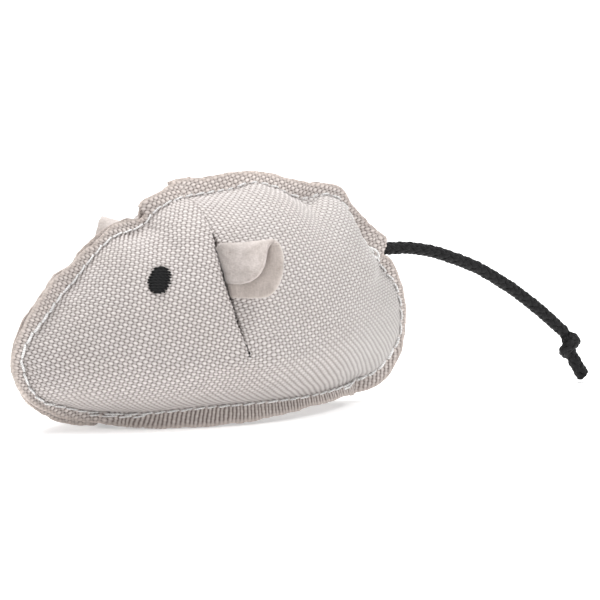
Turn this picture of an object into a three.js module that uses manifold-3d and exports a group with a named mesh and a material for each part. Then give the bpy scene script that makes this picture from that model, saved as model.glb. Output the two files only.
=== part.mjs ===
// Catnip mouse: a stuffed canvas body of two side panels and a belly panel, felt ears, embroidered eyes, braided cord tail.
// Millimetres, +Z up. The nose points to -X, the tail to +X, the left side is -Y. The flat of the belly lies on Z = 0.
import * as THREE from "three";
import { mergeVertices } from "three/addons/utils/BufferGeometryUtils.js";
import Module from "manifold-3d";

// ---- driving dimensions ----
const CLOTH = 0.8; // canvas thickness
const GAP = 0.3; // clearance between neighbouring pieces
const SEAT = 0.15; // half of the clearance between the two layers of a seam
const FULLNESS = 0.55; // exponent of the stuffed cross-section, 0.5 is an ellipse
const BELLY_HALF = 13.0; // half width of the belly panel at its widest
const BELLY_MID = 4.5; // X of its widest place
const BELLY_REACH = 33.0; // half of its length
const BELLY_LEAN = 0.27; // sideways lean of the belly seam allowance per mm of drop
const THREAD_R = 0.28; // sewing thread
const CORD_R = 1.3; // braided tail cord
const STITCH_IN = 0.95; // the thread runs this far outside the stuffed edge, on the allowance
const FELT = 1.1; // felt thickness
const EAR_LENGTH = 15.6; // from the dart to the outer end of the fold
const EAR_BACK = 12.4; // height of the back layer of an ear
const EAR_FRONT = 9.6; // height of the front layer
const EYE_W = 5.5,
  EYE_H = 6.4; // embroidered eye

// Stitch line in the middle plane from the nose over the back to the rear: X, Z, width of the allowance.
const BACK = [
  [-48.1, 16.1, 3.1], [-47.3, 18.9, 3.2], [-44.2, 22.9, 4.0], [-40.9, 26.4, 4.2], [-37.5, 30.4, 3.9], [-32.9, 34.6, 3.3],
  [-27.5, 39.6, 2.5], [-24.1, 41.8, 2.7], [-18.9, 43.2, 2.4], [-14.0, 46.3, 3.3], [-10.5, 47.9, 3.7], [-5.8, 49.2, 3.8],
  [-0.6, 49.6, 3.4], [6.3, 50.1, 3.5], [12.1, 50.9, 2.8], [18.1, 49.7, 2.8], [21.8, 47.9, 3.3], [25.7, 46.7, 3.5],
  [30.5, 47.2, 2.9], [34.2, 46.3, 2.4], [36.4, 44, 2.1], [38.3, 41, 2.0], [40.4, 37.4, 2.3], [41.8, 35.2, 2.6],
  [44.8, 32, 2.5], [46.9, 28.8, 2.3], [49.8, 25.8, 2.0], [50.9, 21.5, 1.9], [51.1, 19.3, 1.9],
];
// The same below, from the rear to the nose. Between X = 37 and X = -28 it is the belly seam, off the middle plane.
const BELOW = [
  [50.9, 14.3, 2.0], [49.8, 12.3, 2.0], [47.9, 9.7, 2.4], [46.2, 8, 2.6], [43.5, 6.4, 2.6], [40.4, 5.1, 2.4], [37, 4.65, 2.3],
  [31, 4.55, 2.4], [25, 4.5, 2.6], [18, 4.2, 2.7], [12, 4, 3.1], [5, 3.8, 3.3], [-1, 3.65, 3.45], [-8, 3.6, 3.5], [-15, 3.6, 3.5],
  [-22, 3.45, 3.35], [-28.6, 3.4, 3.1], [-32.3, 3.7, 2.9], [-35.5, 4.65, 3.2], [-38.5, 5.3, 3.4], [-42.5, 6.5, 3.2], [-44.3, 7.8, 3.1],
  [-46.2, 9.9, 3.1], [-47.5, 13.6, 3.3],
];
// Half width of the stuffed body along X, and the relative height of the widest place.
const WIDTH = [
  [-48.1, 0], [-47.2, 2.0], [-45, 4.3], [-40, 8.4], [-35, 11.9], [-30, 14.9], [-25, 17.5], [-20, 19.6], [-15, 21.3], [-10, 22.5],
  [-5, 23.3], [0, 23.8], [5, 24], [10, 23.8], [15, 23.2], [20, 21.8], [25, 19.6], [30, 16.7], [35, 13.3], [40, 9.6], [45, 5.6],
  [48, 3.2], [50, 1.6], [51.1, 0],
];
const WIDEST = [[-48, 0.45], [-30, 0.34], [-12, 0.27], [10, 0.26], [30, 0.32], [42, 0.42], [51, 0.48]];
// The dart runs from the back seam down the side: X, Z of its line, and the spokes of each panel start at its lower end.
const DART = [[-6.0, 49.1], [-6.6, 46.2], [-7.2, 40.6], [-7.7, 34.6], [-7.3, 29.6], [-6.6, 24.6], [-5.6, 20.1], [-4.2, 15.5]];
const EAR_TOP = [-7.3, 40.5],
  EAR_FOOT = [-7.3, 29.5]; // X, Z of the ear's two ends on the dart
const EYE_AT = [-21.7, 33.6]; // X, Z of the eye
// Tail centre line outside the body.
const TAIL_ROOT = [[37.4, 0, 33.4], [41.0, 0, 33.75], [46.0, 0, 33.85]];
const TAIL_BASE = [[47.6, 0, 33.8], [53.4, 0, 33.45], [59.4, 0, 32.2], [65.8, 0, 30.0], [69.9, 0, 28.35]]; // starts at the sway pivot
const TAIL_TIP = [[71.4, 0, 27.7], [76.2, 0, 25.15], [81.0, 0, 22.2], [85.0, 0, 19.3], [89.1, 0, 16.1], [92.7, 0, 13.0], [93.9, 0, 11.9]];
const KNOT_AT = [95.4, 0, 8.7];
const TAIL_END = [[96.1, 0, 5.4], [97.0, 0, 4.0], [98.3, 0, 2.25]];
const PART_AT = [43.2, 33.7]; // X, Z on the seam where the tail parts the two layers

const SLOTS = {
  canvas: { color: 0xcfc7c3, roughness: 0.85 },
  thread: { color: 0xf2f0ef, roughness: 0.6 },
  felt: { color: 0xcabfb7, roughness: 0.95 },
  black_thread: { color: 0x1c1c1e, roughness: 0.5 },
  cord: { color: 0x262627, roughness: 0.8 },
  fibre: { color: 0xf5f5f2, roughness: 1.0 },
  herb: { color: 0x7d8456, roughness: 1.0 },
};

const wasm = await Module();
wasm.setup();

// ---- helpers ----
const lerpTable = (t, x) => {
  if (x <= t[0][0]) return t[0][1];
  for (let i = 1; i < t.length; i++)
    if (x <= t[i][0]) {
      const k = (x - t[i - 1][0]) / (t[i][0] - t[i - 1][0]);
      return t[i - 1][1] + k * (t[i][1] - t[i - 1][1]);
    }
  return t[t.length - 1][1];
};
const V = (x, y, z) => new THREE.Vector3(x, y, z);
const toSolid = (geometry) => {
  const g = geometry.clone();
  for (const n of Object.keys(g.attributes)) if (n !== "position") g.deleteAttribute(n);
  const m = mergeVertices(g, 1e-4);
  return new wasm.Manifold(
    new wasm.Mesh({ numProp: 3, vertProperties: new Float32Array(m.attributes.position.array), triVerts: new Uint32Array(m.index.array) }),
  );
};
const toGeometry = (solid) => {
  const m = solid.getMesh(),
    n = m.numProp,
    v = new Float32Array(m.numVert * 3);
  for (let i = 0; i < m.numVert; i++) v.set(m.vertProperties.subarray(i * n, i * n + 3), i * 3);
  return new THREE.BufferGeometry().setAttribute("position", new THREE.BufferAttribute(v, 3)).setIndex(new THREE.BufferAttribute(new Uint32Array(m.triVerts), 1));
};
// A closed skin over a stack of rings of equal length, with a point or a fan at each end.
const skin = (rings, first, last, flip) => {
  const n = rings[0].length,
    pos = [],
    idx = [];
  const put = (p) => pos.push(p.x, p.y, p.z) / 3 - 1;
  const tri = (a, b, c) => (flip ? idx.push(a, c, b) : idx.push(a, b, c));
  const top = put(first);
  const ids = rings.map((r) => r.map(put));
  const end = put(last);
  for (let i = 0; i < n; i++) tri(top, ids[0][i], ids[0][(i + 1) % n]);
  for (let k = 0; k + 1 < rings.length; k++)
    for (let i = 0; i < n; i++) {
      const j = (i + 1) % n,
        a = ids[k][i],
        b = ids[k][j],
        c = ids[k + 1][j],
        d = ids[k + 1][i];
      tri(a, d, c);
      tri(a, c, b);
    }
  const z = ids[ids.length - 1];
  for (let i = 0; i < n; i++) tri(end, z[(i + 1) % n], z[i]);
  return new THREE.BufferGeometry().setAttribute("position", new THREE.Float32BufferAttribute(pos, 3)).setIndex(idx);
};
// A round cord or thread along points.
const tube = (points, radius, sides, steps) => {
  const shape = new THREE.Shape();
  for (let i = 0; i < sides; i++) {
    const a = (i / sides) * Math.PI * 2;
    i ? shape.lineTo(radius * Math.cos(a), radius * Math.sin(a)) : shape.moveTo(radius, 0);
  }
  const path = new THREE.CatmullRomCurve3(points.map((p) => (p.isVector3 ? p : V(...p))), false, "centripetal");
  return new THREE.ExtrudeGeometry(shape, { steps, bevelEnabled: false, extrudePath: path });
};

// ---- the stuffed surface ----
const UPPER = BACK.map((p) => [p[0], p[1]]);
const LOWER = [[BACK[0][0], BACK[0][1]], ...BELOW.map((p) => [p[0], p[1]]).reverse(), [BACK[BACK.length - 1][0], BACK[BACK.length - 1][1]]];
const belly = (x) => BELLY_HALF * Math.max(0, 1 - ((x - BELLY_MID) / BELLY_REACH) ** 2) ** 0.75;
const halfWidth = (x, z) => {
  const zt = lerpTable(UPPER, x),
    zb = lerpTable(LOWER, x),
    q = Math.min(1, Math.max(0, (z - zb) / Math.max(zt - zb, 0.01))),
    w = lerpTable(WIDTH, x),
    b = Math.min(belly(x), 0.9 * w),
    q0 = lerpTable(WIDEST, x),
    below = q0 / Math.sqrt(1 - (b / Math.max(w, 0.01)) ** (1 / FULLNESS)),
    t = q >= q0 ? (q - q0) / (1 - q0) : (q0 - q) / below;
  return w * Math.max(0, 1 - t * t) ** FULLNESS;
};

// Points round the stitch line, closer together at the tail.
const outline = new THREE.CatmullRomCurve3([...BACK, ...BELOW].map((p) => V(p[0], p[1], p[2])), true, "centripetal");
const fine = outline.getPoints(1400).slice(0, -1);
const rim = [];
{
  let since = 1e9;
  for (let i = 0; i < fine.length; i++) {
    const p = fine[i],
      q = fine[(i + 1) % fine.length],
      near = Math.hypot(p.x - PART_AT[0], p.y - PART_AT[1]);
    const step = near < 5.5 ? 1.35 : 4.4;
    if (since >= step) {
      const a = fine[(i + fine.length - 6) % fine.length],
        b = fine[(i + 6) % fine.length];
      const out = new THREE.Vector2(-(b.y - a.y), b.x - a.x).normalize();
      const half = Math.min(belly(p.x), 0.9 * lerpTable(WIDTH, p.x)) * (p.y < 12 ? 1 : 0);
      const k = Math.min(1, half / 4);
      const part = (CORD_R + GAP - SEAT) * THREE.MathUtils.smoothstep(5.0 - near, 0, 3.0);
      rim.push({ x: p.x, z: p.y, width: p.z, out, half, k, part });
      since = 0;
    }
    since += Math.hypot(q.x - p.x, q.y - p.y);
  }
  if (Math.hypot(rim[0].x - rim[rim.length - 1].x, rim[0].z - rim[rim.length - 1].z) < 1.2) rim.pop();
}
const HUB = { x: DART[DART.length - 1][0], z: DART[DART.length - 1][1] };
const FRACTIONS = [0.3, 0.52, 0.7, 0.84, 0.93, 0.98];

// Points of the panel's outer face on side -1 (left) or +1 (right), and the same moved inwards by a depth.
const outer = (side, x, z, part, fade) => V(x, side * (halfWidth(x, z) + SEAT + CLOTH + part * fade), z);
const faceNormal = (side, x, z) => {
  const e = 0.35,
    sx = (halfWidth(x + e, z) - halfWidth(x - e, z)) / (2 * e),
    sz = (halfWidth(x, z + e) - halfWidth(x, z - e)) / (2 * e);
  return V(-sx, side, -sz).normalize();
};
const spoke = (r, f) => ({ x: HUB.x + (r.x - HUB.x) * f, z: HUB.z + (r.z - HUB.z) * f });
const faceRing = (side, f, depth) =>
  rim.map((r) => {
    const c = spoke(r, f),
      p = outer(side, c.x, c.z, r.part, f ** 3);
    return depth ? p.addScaledVector(faceNormal(side, c.x, c.z), -depth) : p;
  });
// The seam allowance: how = distance beyond the stitch line, lie = distance out from the seam's own surface.
const allowance = (r, side, how, lie) => {
  const down = 1 - r.k,
    drop = how;
  return V(
    r.x + r.out.x * how * down,
    side * (r.half + lie + r.part + BELLY_LEAN * drop * r.k),
    Math.max(0.12, r.z + r.out.y * how * down - drop * r.k),
  );
};
const sidePanel = (side) => {
  const hubOut = outer(side, HUB.x, HUB.z, 0, 0),
    hubIn = hubOut.clone().addScaledVector(faceNormal(side, HUB.x, HUB.z), -CLOTH);
  const rings = FRACTIONS.map((f) => faceRing(side, f, 0));
  rings.push(rim.map((r) => allowance(r, side, 0, SEAT + CLOTH)));
  rings.push(rim.map((r) => allowance(r, side, r.width, SEAT + CLOTH)));
  rings.push(rim.map((r) => allowance(r, side, r.width, SEAT)));
  rings.push(rim.map((r) => allowance(r, side, 0, SEAT)));
  for (const f of [...FRACTIONS].reverse()) rings.push(faceRing(side, f, CLOTH));
  return skin(rings, hubOut, hubIn, side < 0);
};

// ---- belly panel: flat where it rests, turned down at both edges into the belly allowance ----
const bellyPanel = () => {
  const xs = [-24.3, -22, -18.5, -13, -8, -3.6, 3.2, 9, 15, 21, 26.5, 31, 34.4];
  const edge = rim.filter((r) => r.z < 6 && r.x > -33 && r.x < 41).sort((a, b) => a.x - b.x);
  const along = (key) => edge.map((r) => [r.x, r[key]]);
  const halves = along("half"),
    heights = along("z"),
    widths = along("width");
  const rings = xs.map((x) => {
    const b = lerpTable(halves, x) - 0.05,
      zb = lerpTable(heights, x),
      w = lerpTable(widths, x);
    const lean = BELLY_LEAN * w,
      ze = Math.max(0.12, zb - w),
      y1 = b - SEAT - CLOTH,
      y2 = y1 * 0.86,
      yp = y1 * 0.6;
    const half = [
      [b - SEAT + lean, ze],
      [b - SEAT, zb + 0.1],
      [y2 + 0.35, 0.45 * (zb - 0.9) + CLOTH],
      [yp, CLOTH],
    ];
    const under = [
      [yp, 0],
      [y2, 0.45 * (zb - 0.9)],
      [y1, zb - 0.75],
      [y1 + lean, ze],
    ];
    // round the section: top from right to left, then under from left to right
    const ring = [];
    for (const [y, z] of half) ring.push(V(x, y, z));
    for (const [y, z] of [...half].reverse()) ring.push(V(x, -y, z));
    for (const [y, z] of [...under].reverse()) ring.push(V(x, -y, z));
    for (const [y, z] of under) ring.push(V(x, y, z));
    return ring;
  });
  // each end is closed by strips between the top and the under line
  const pos = [],
    idx = [],
    n = rings[0].length;
  for (const r of rings) for (const p of r) pos.push(p.x, p.y, p.z);
  for (let k = 0; k + 1 < rings.length; k++)
    for (let i = 0; i < n; i++) {
      const j = (i + 1) % n,
        a = k * n + i,
        b = k * n + j,
        c = (k + 1) * n + j,
        d = (k + 1) * n + i;
      idx.push(a, b, c, a, c, d);
    }
  const cap = (k, turn) => {
    for (let i = 0; i + 1 < n / 2; i++) {
      const a = k * n + i,
        b = k * n + i + 1,
        c = k * n + (n - 2 - i),
        d = k * n + (n - 1 - i);
      turn ? idx.push(a, c, b, a, d, c) : idx.push(a, b, c, a, c, d);
    }
  };
  cap(0, true);
  cap(rings.length - 1, false);
  return new THREE.BufferGeometry().setAttribute("position", new THREE.Float32BufferAttribute(pos, 3)).setIndex(idx);
};

// ---- ears ----
// Base of the left ear on the dart, the direction of its fold and the direction down along the dart.
const earFrame = (side) => {
  const top = outer(side, EAR_TOP[0], EAR_TOP[1], 0, 0),
    foot = outer(side, EAR_FOOT[0], EAR_FOOT[1], 0, 0);
  const down = foot.clone().sub(top).normalize();
  // the left ear lies further back than the right one
  const along = (side < 0 ? V(6.8, -14.5, 1.0) : V(-1.0, 14.2, 0.9)).normalize();
  const ahead = V().crossVectors(along, down).normalize(); // out of the plane of the back layer
  if (ahead.x > 0) ahead.negate();
  return { top, down, along, ahead };
};
// The folded flap: at each station along the fold the felt goes down the back layer, round its edge and up to the front layer.
const earFlap = (side) => {
  const { top, down, along, ahead } = earFrame(side);
  const stations = [1.15, 2.4, 4.2, 6.6, 9.0, 11.4, 13.2, 14.6, EAR_LENGTH];
  const rings = stations.map((u) => {
    const round = (reach, start) => (u <= start ? 1 : Math.sqrt(Math.max(0.03, 1 - ((u - start) / (reach - start)) ** 2)));
    const back = EAR_BACK * round(EAR_LENGTH + 0.35, 8.5);
    const front = Math.max(0.9, EAR_FRONT * round(EAR_LENGTH - 0.6, 6.5));
    const pinch = THREE.MathUtils.smoothstep(u, 1.0, 4.4);
    const t = 0.5 + (FELT - 0.5) * pinch;
    const open = 0.12 + 0.5 * pinch;
    const spread = 0.42 * THREE.MathUtils.smoothstep(u, 1.5, 11.5);
    const hang = down.clone().lerp(V(0, 0, -1), THREE.MathUtils.smoothstep(u, 0, EAR_LENGTH * 0.8)).normalize();
    const at = (v, h, tilt) =>
      top
        .clone()
        .addScaledVector(along, u)
        .addScaledVector(hang, v * Math.cos(tilt))
        .addScaledVector(ahead, h + v * Math.sin(tilt));
    return [
      at(back, -open / 2 - t, -0.12 * spread),
      at(back * 0.5, -open / 2 - t, -0.12 * spread),
      at(0.35, -open / 2 - t, 0),
      at(-0.35, -open / 2 - 0.3 * t, 0),
      at(-0.35, open / 2 + 0.3 * t, 0),
      at(0.35, open / 2 + t, 0),
      at(front * 0.5, open / 2 + t, spread),
      at(front, open / 2 + t, spread),
      at(front, open / 2, spread),
      at(front * 0.5, open / 2, spread),
      at(FELT * 0.8, open / 2, 0),
      at(FELT * 0.8, -open / 2, 0),
      at(back * 0.5, -open / 2, -0.12 * spread),
      at(back, -open / 2, -0.12 * spread),
    ];
  });
  const n = rings[0].length,
    pos = [],
    idx = [];
  for (const r of rings) for (const p of r) pos.push(p.x, p.y, p.z);
  for (let k = 0; k + 1 < rings.length; k++)
    for (let i = 0; i < n; i++) {
      const j = (i + 1) % n;
      idx.push(k * n + i, k * n + j, (k + 1) * n + j, k * n + i, (k + 1) * n + j, (k + 1) * n + i);
    }
  const strip = [[0, 1, 12, 13], [1, 2, 11, 12], [2, 3, 4, 11], [4, 5, 10, 11], [5, 6, 9, 10], [6, 7, 8, 9]];
  for (const [a, b, c, d] of strip) {
    const o = (rings.length - 1) * n;
    idx.push(a, c, b, a, d, c);
    idx.push(o + a, o + b, o + c, o + a, o + c, o + d);
  }
  const g = new THREE.BufferGeometry().setAttribute("position", new THREE.Float32BufferAttribute(pos, 3)).setIndex(idx);
  return g;
};
const faceOut = (g) => {
  // turns a closed geometry so that its faces point out
  const p = g.attributes.position,
    ix = g.index.array;
  let vol = 0;
  const a = V(),
    b = V(),
    c = V();
  for (let i = 0; i < ix.length; i += 3) {
    a.fromBufferAttribute(p, ix[i]);
    b.fromBufferAttribute(p, ix[i + 1]);
    c.fromBufferAttribute(p, ix[i + 2]);
    vol += a.dot(b.cross(c));
  }
  if (vol < 0) {
    const turned = Array.from(ix);
    for (let i = 0; i < turned.length; i += 3) [turned[i + 1], turned[i + 2]] = [turned[i + 2], turned[i + 1]];
    g.setIndex(turned);
  }
  return g;
};
// A plate in the ear's frame: from depth u0 to u1 along the fold, v0 to v1 down the dart, half thickness h.
const earPlate = (side, u0, u1, v0, v1, h) => {
  const { top, down, ahead } = earFrame(side);
  const along = V().crossVectors(down, ahead).normalize();
  if (along.y * side < 0) along.negate();
  const box = new THREE.BoxGeometry(u1 - u0, v1 - v0, 2 * h).translate((u0 + u1) / 2, (v0 + v1) / 2, 0);
  const basis = new THREE.Matrix4().makeBasis(along, down, ahead).setPosition(top);
  const g = box.toNonIndexed().applyMatrix4(basis);
  return faceOut(mergeVertices(new THREE.BufferGeometry().setAttribute("position", g.attributes.position), 1e-4));
};

// ---- embroidered eye: a low dome that follows the panel ----
const eye = (side) => {
  const n = 20,
    grow = [0.55, 0.85, 1.0];
  const lift = [0.95, 0.8, 0.45];
  const point = (a, g, up) => {
    const x = EYE_AT[0] + (EYE_W / 2) * 0.86 * g * Math.cos(a) + 0.12 * g * Math.sin(a) * 2,
      z = EYE_AT[1] + (EYE_H / 2) * 0.94 * g * Math.sin(a);
    return outer(side, x, z, 0, 0).addScaledVector(faceNormal(side, x, z), up);
  };
  const ring = (g, up) => Array.from({ length: n }, (_, i) => point((i / n) * 2 * Math.PI, g, up));
  const rings = [...grow.map((g, i) => ring(g, lift[i])), ...[...grow].reverse().map((g) => ring(g, GAP + (g < 1 ? 0 : 0.02)))];
  return faceOut(skin(rings, point(0, 0, 1.0), point(0, 0, GAP), false));
};

// ---- filling ----
const filling = () => {
  const inset = 1.35;
  const half = (side) => {
    const rings = [0.3, 0.52, 0.7, 0.82, 0.9].map((f) => faceRing(side, f, CLOTH + 0.45));
    rings.push(
      rim.map((r) => {
        const c = spoke(r, 0.945),
          y = r.half > 0 ? Math.max(0.9, r.half - 2.4) : 0.9;
        return V(c.x - r.out.x * inset * 0.6 * (1 - r.k), side * y, c.z - r.out.y * inset * 0.6 * (1 - r.k) + 0.9 * r.k);
      }),
    );
    rings.push(
      rim.map((r) => {
        const c = spoke(r, 0.94),
          y = r.half > 0 ? Math.max(0.35, (r.half - SEAT - CLOTH) * 0.5) : 0.35;
        const z = c.z - r.out.y * inset * 0.7 * (1 - r.k);
        return V(c.x - r.out.x * inset * 0.7 * (1 - r.k), side * y, r.k > 0.5 ? THREE.MathUtils.lerp(z, 1.9, r.k) : z + 0.9 * r.k);
      }),
    );
    return rings;
  };
  const left = half(-1),
    right = half(1).reverse();
  const hub = (side) => outer(side, HUB.x, HUB.z, 0, 0).addScaledVector(faceNormal(side, HUB.x, HUB.z), -(CLOTH + 0.45));
  return faceOut(skin([...left, ...right], hub(-1), hub(1), true));
};
const CHARGE = { x: 8, z: 17, r: 8.5, half: 15 };
const capsule = (r, half, cx, cz) => {
  const pts = [];
  for (let i = 0; i <= 8; i++) {
    const a = -Math.PI / 2 + (i / 8) * (Math.PI / 2);
    pts.push(new THREE.Vector2(i ? r * Math.cos(a) : 0, -half + r + r * Math.sin(a)));
  }
  for (let i = 0; i <= 8; i++) {
    const a = (i / 8) * (Math.PI / 2);
    pts.push(new THREE.Vector2(i < 8 ? r * Math.cos(a) : 0, half - r + r * Math.sin(a)));
  }
  const g = new THREE.LatheGeometry(pts, 14);
  g.rotateZ(-Math.PI / 2).translate(cx, 0, cz);
  return g;
};

// ---- threads ----
const threadPath = (side, from, to, lift, how) => {
  const pts = [];
  for (let i = from; i <= to; i++) {
    const r = rim[i % rim.length];
    pts.push(allowance(r, side, how, SEAT + CLOTH + lift));
  }
  return pts;
};
const frontEnd = rim.findIndex((r, i) => i > rim.length / 2 && r.x < -27.5 && r.half <= 0.01); // first point ahead of the belly
const rearEnd = rim.findIndex((r) => r.z < 12 && r.half > 0.01) - 1; // last point behind the belly
const LIFT = GAP + THREAD_R;
const backThread = (side) => tube(threadPath(side, frontEnd, rim.length + rearEnd, LIFT, STITCH_IN), THREAD_R, 5, 84);
const bellyThread = (side) => tube(threadPath(side, rearEnd + 1, frontEnd - 1, LIFT, STITCH_IN * 0.75), THREAD_R, 5, 30);
const backtack = (from, to) => tube(threadPath(-1, from, to, LIFT, STITCH_IN * 0.75 + 0.95), THREAD_R * 0.9, 5, 6);
const dartThread = (side) =>
  tube(
    DART.slice(1, -1).map(([x, z]) => outer(side, x + 1.8, z, 0, 0).addScaledVector(faceNormal(side, x + 1.8, z), -(CLOTH + 0.45 + THREAD_R + 0.9))),
    THREAD_R,
    5,
    12,
  );

// ---- tail ----
// A length of cord whose first end is round, so that it turns in place about its first point.
const rounded = (points, steps) => {
  const ball = new THREE.SphereGeometry(CORD_R * 0.985, 10, 8).translate(...points[0]);
  return toGeometry(toSolid(tube(points, CORD_R, 8, steps)).add(toSolid(ball)));
};
const knot = () => {
  // an overhand knot drawn tight: one fat turn with a lobe on each side
  const pts = [];
  const prof = [[0, -3.1], [1.0, -3.0], [2.0, -2.3], [2.55, -1.0], [2.7, 0.3], [2.3, 1.7], [1.5, 2.6], [0.9, 2.85], [0, 2.9]];
  for (const [r, h] of prof) pts.push(new THREE.Vector2(r, h));
  return new THREE.LatheGeometry(pts, 12).rotateX(Math.PI / 2).rotateY(-0.42).translate(...KNOT_AT);
};

// ---- assembly ----
const mouse = new THREE.Group();
const add = (name, slot, geometry) => {
  const s = SLOTS[slot];
  const m = new THREE.Mesh(geometry, new THREE.MeshStandardMaterial({ color: s.color, roughness: s.roughness, metalness: 0 }));
  m.name = name;
  mouse.add(m);
  return m;
};

for (const [side, name] of [[-1, "left"], [1, "right"]]) {
  const slit = toSolid(earPlate(side, -5.2, 2.0, -0.75, EAR_BACK + 0.35, 0.62 + GAP));
  add(`${name}_side_panel`, "canvas", toGeometry(toSolid(faceOut(sidePanel(side))).subtract(slit)));
}
add("belly_panel", "canvas", faceOut(bellyPanel()));

let stuffing = toSolid(filling());
const pocket = toSolid(capsule(CHARGE.r + 0.4, CHARGE.half + 0.4, CHARGE.x, CHARGE.z));
const way = new THREE.BoxGeometry(2 * (CHARGE.half - 6), 9, 20).translate(CHARGE.x, 0, CHARGE.z - 14);
stuffing = stuffing.subtract(pocket.add(toSolid(way)));
stuffing = stuffing.subtract(toSolid(tube([[35.6, 0, 33.3], [40.2, 0, 33.7], [46, 0, 33.95]], CORD_R + 0.5, 8, 4)));
for (const side of [-1, 1]) {
  stuffing = stuffing.subtract(toSolid(earPlate(side, -5.4, 2.0, -1.0, EAR_BACK + 0.8, 0.62 + 0.5)));
  stuffing = stuffing.subtract(
    toSolid(
      tube(
        [[-6.1, 47.2], ...DART.slice(1, -1), [-4.9, 17.0]].map(([x, z]) =>
          outer(side, x + 1.8, z, 0, 0).addScaledVector(faceNormal(side, x + 1.8, z), -(CLOTH + 0.45 + THREAD_R + 0.6)),
        ),
        1.15,
        6,
        14,
      ),
    ),
  );
}
stuffing = stuffing.decompose().sort((a, b) => b.volume() - a.volume())[0];
add("fibre_filling", "fibre", toGeometry(stuffing));
add("catnip_charge", "herb", capsule(CHARGE.r, CHARGE.half, CHARGE.x, CHARGE.z));

for (const [side, name] of [[-1, "left"], [1, "right"]]) {
  add(`${name}_ear`, "felt", faceOut(earFlap(side)));
  add(`${name}_ear_root`, "felt", earPlate(side, -4.4, 0.35, -0.3, EAR_BACK - 0.1, 0.6));
  add(`${name}_eye`, "black_thread", eye(side));
  add(`back_seam_thread_${name}`, "thread", backThread(side));
  add(`belly_seam_thread_${name}`, "thread", bellyThread(side));
  add(`${name}_dart_thread`, "thread", dartThread(side));
}

add("tail_root", "cord", tube(TAIL_ROOT, CORD_R, 8, 3));
add("tail_cord_base", "cord", rounded(TAIL_BASE, 8));
add("tail_cord_tip", "cord", rounded(TAIL_TIP, 10));
add("tail_knot", "cord", knot());
add("tail_end", "cord", tube(TAIL_END, CORD_R, 8, 3));

const bellyFirst = rearEnd + 1,
  bellyLast = frontEnd - 1;
add("belly_backtack_front", "thread", backtack(bellyLast - 3, bellyLast - 1));
add("belly_backtack_rear", "thread", backtack(bellyFirst + 1, bellyFirst + 2));
// loose loop of thread beside the tail, on the left allowance
const tack = [
  [41.3, -2.9, 36.6],
  [42.6, -3.9, 36.2],
  [44.0, -4.2, 35.0],
  [44.6, -4.1, 33.4],
  [45.6, -3.7, 32.0],
];
add("tail_tack_thread", "thread", tube(tack, THREAD_R * 0.9, 5, 8));

export default mouse;
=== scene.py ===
"""Looks of the catnip mouse: canvas body with raw-edged seams, felt ears, embroidered eyes, braided cord tail.

Lengths below are in millimetres in the part's own frame and become metres where a mesh is made.
The nose points to -X, the tail to +X, the left side is -Y, and the belly rests on Z = 0.
"""
import math

import bmesh
import bpy
import numpy as np
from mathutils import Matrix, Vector
from mathutils.bvhtree import BVHTree


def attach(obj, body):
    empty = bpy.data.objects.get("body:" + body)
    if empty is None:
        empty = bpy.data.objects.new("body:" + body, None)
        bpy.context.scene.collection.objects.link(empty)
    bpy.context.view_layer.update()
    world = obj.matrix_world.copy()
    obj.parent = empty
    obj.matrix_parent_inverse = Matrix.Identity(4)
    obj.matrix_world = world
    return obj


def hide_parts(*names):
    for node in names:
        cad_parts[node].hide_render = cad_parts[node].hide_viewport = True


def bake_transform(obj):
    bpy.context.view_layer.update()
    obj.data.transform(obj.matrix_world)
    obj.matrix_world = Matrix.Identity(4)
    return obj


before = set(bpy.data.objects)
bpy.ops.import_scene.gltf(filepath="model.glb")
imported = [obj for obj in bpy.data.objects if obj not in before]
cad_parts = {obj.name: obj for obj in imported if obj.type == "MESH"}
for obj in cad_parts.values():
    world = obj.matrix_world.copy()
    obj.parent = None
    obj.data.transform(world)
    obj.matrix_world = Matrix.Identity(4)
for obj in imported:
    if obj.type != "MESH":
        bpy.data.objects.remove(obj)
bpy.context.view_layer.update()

MM = 0.001
rng = np.random.default_rng(7)

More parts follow.
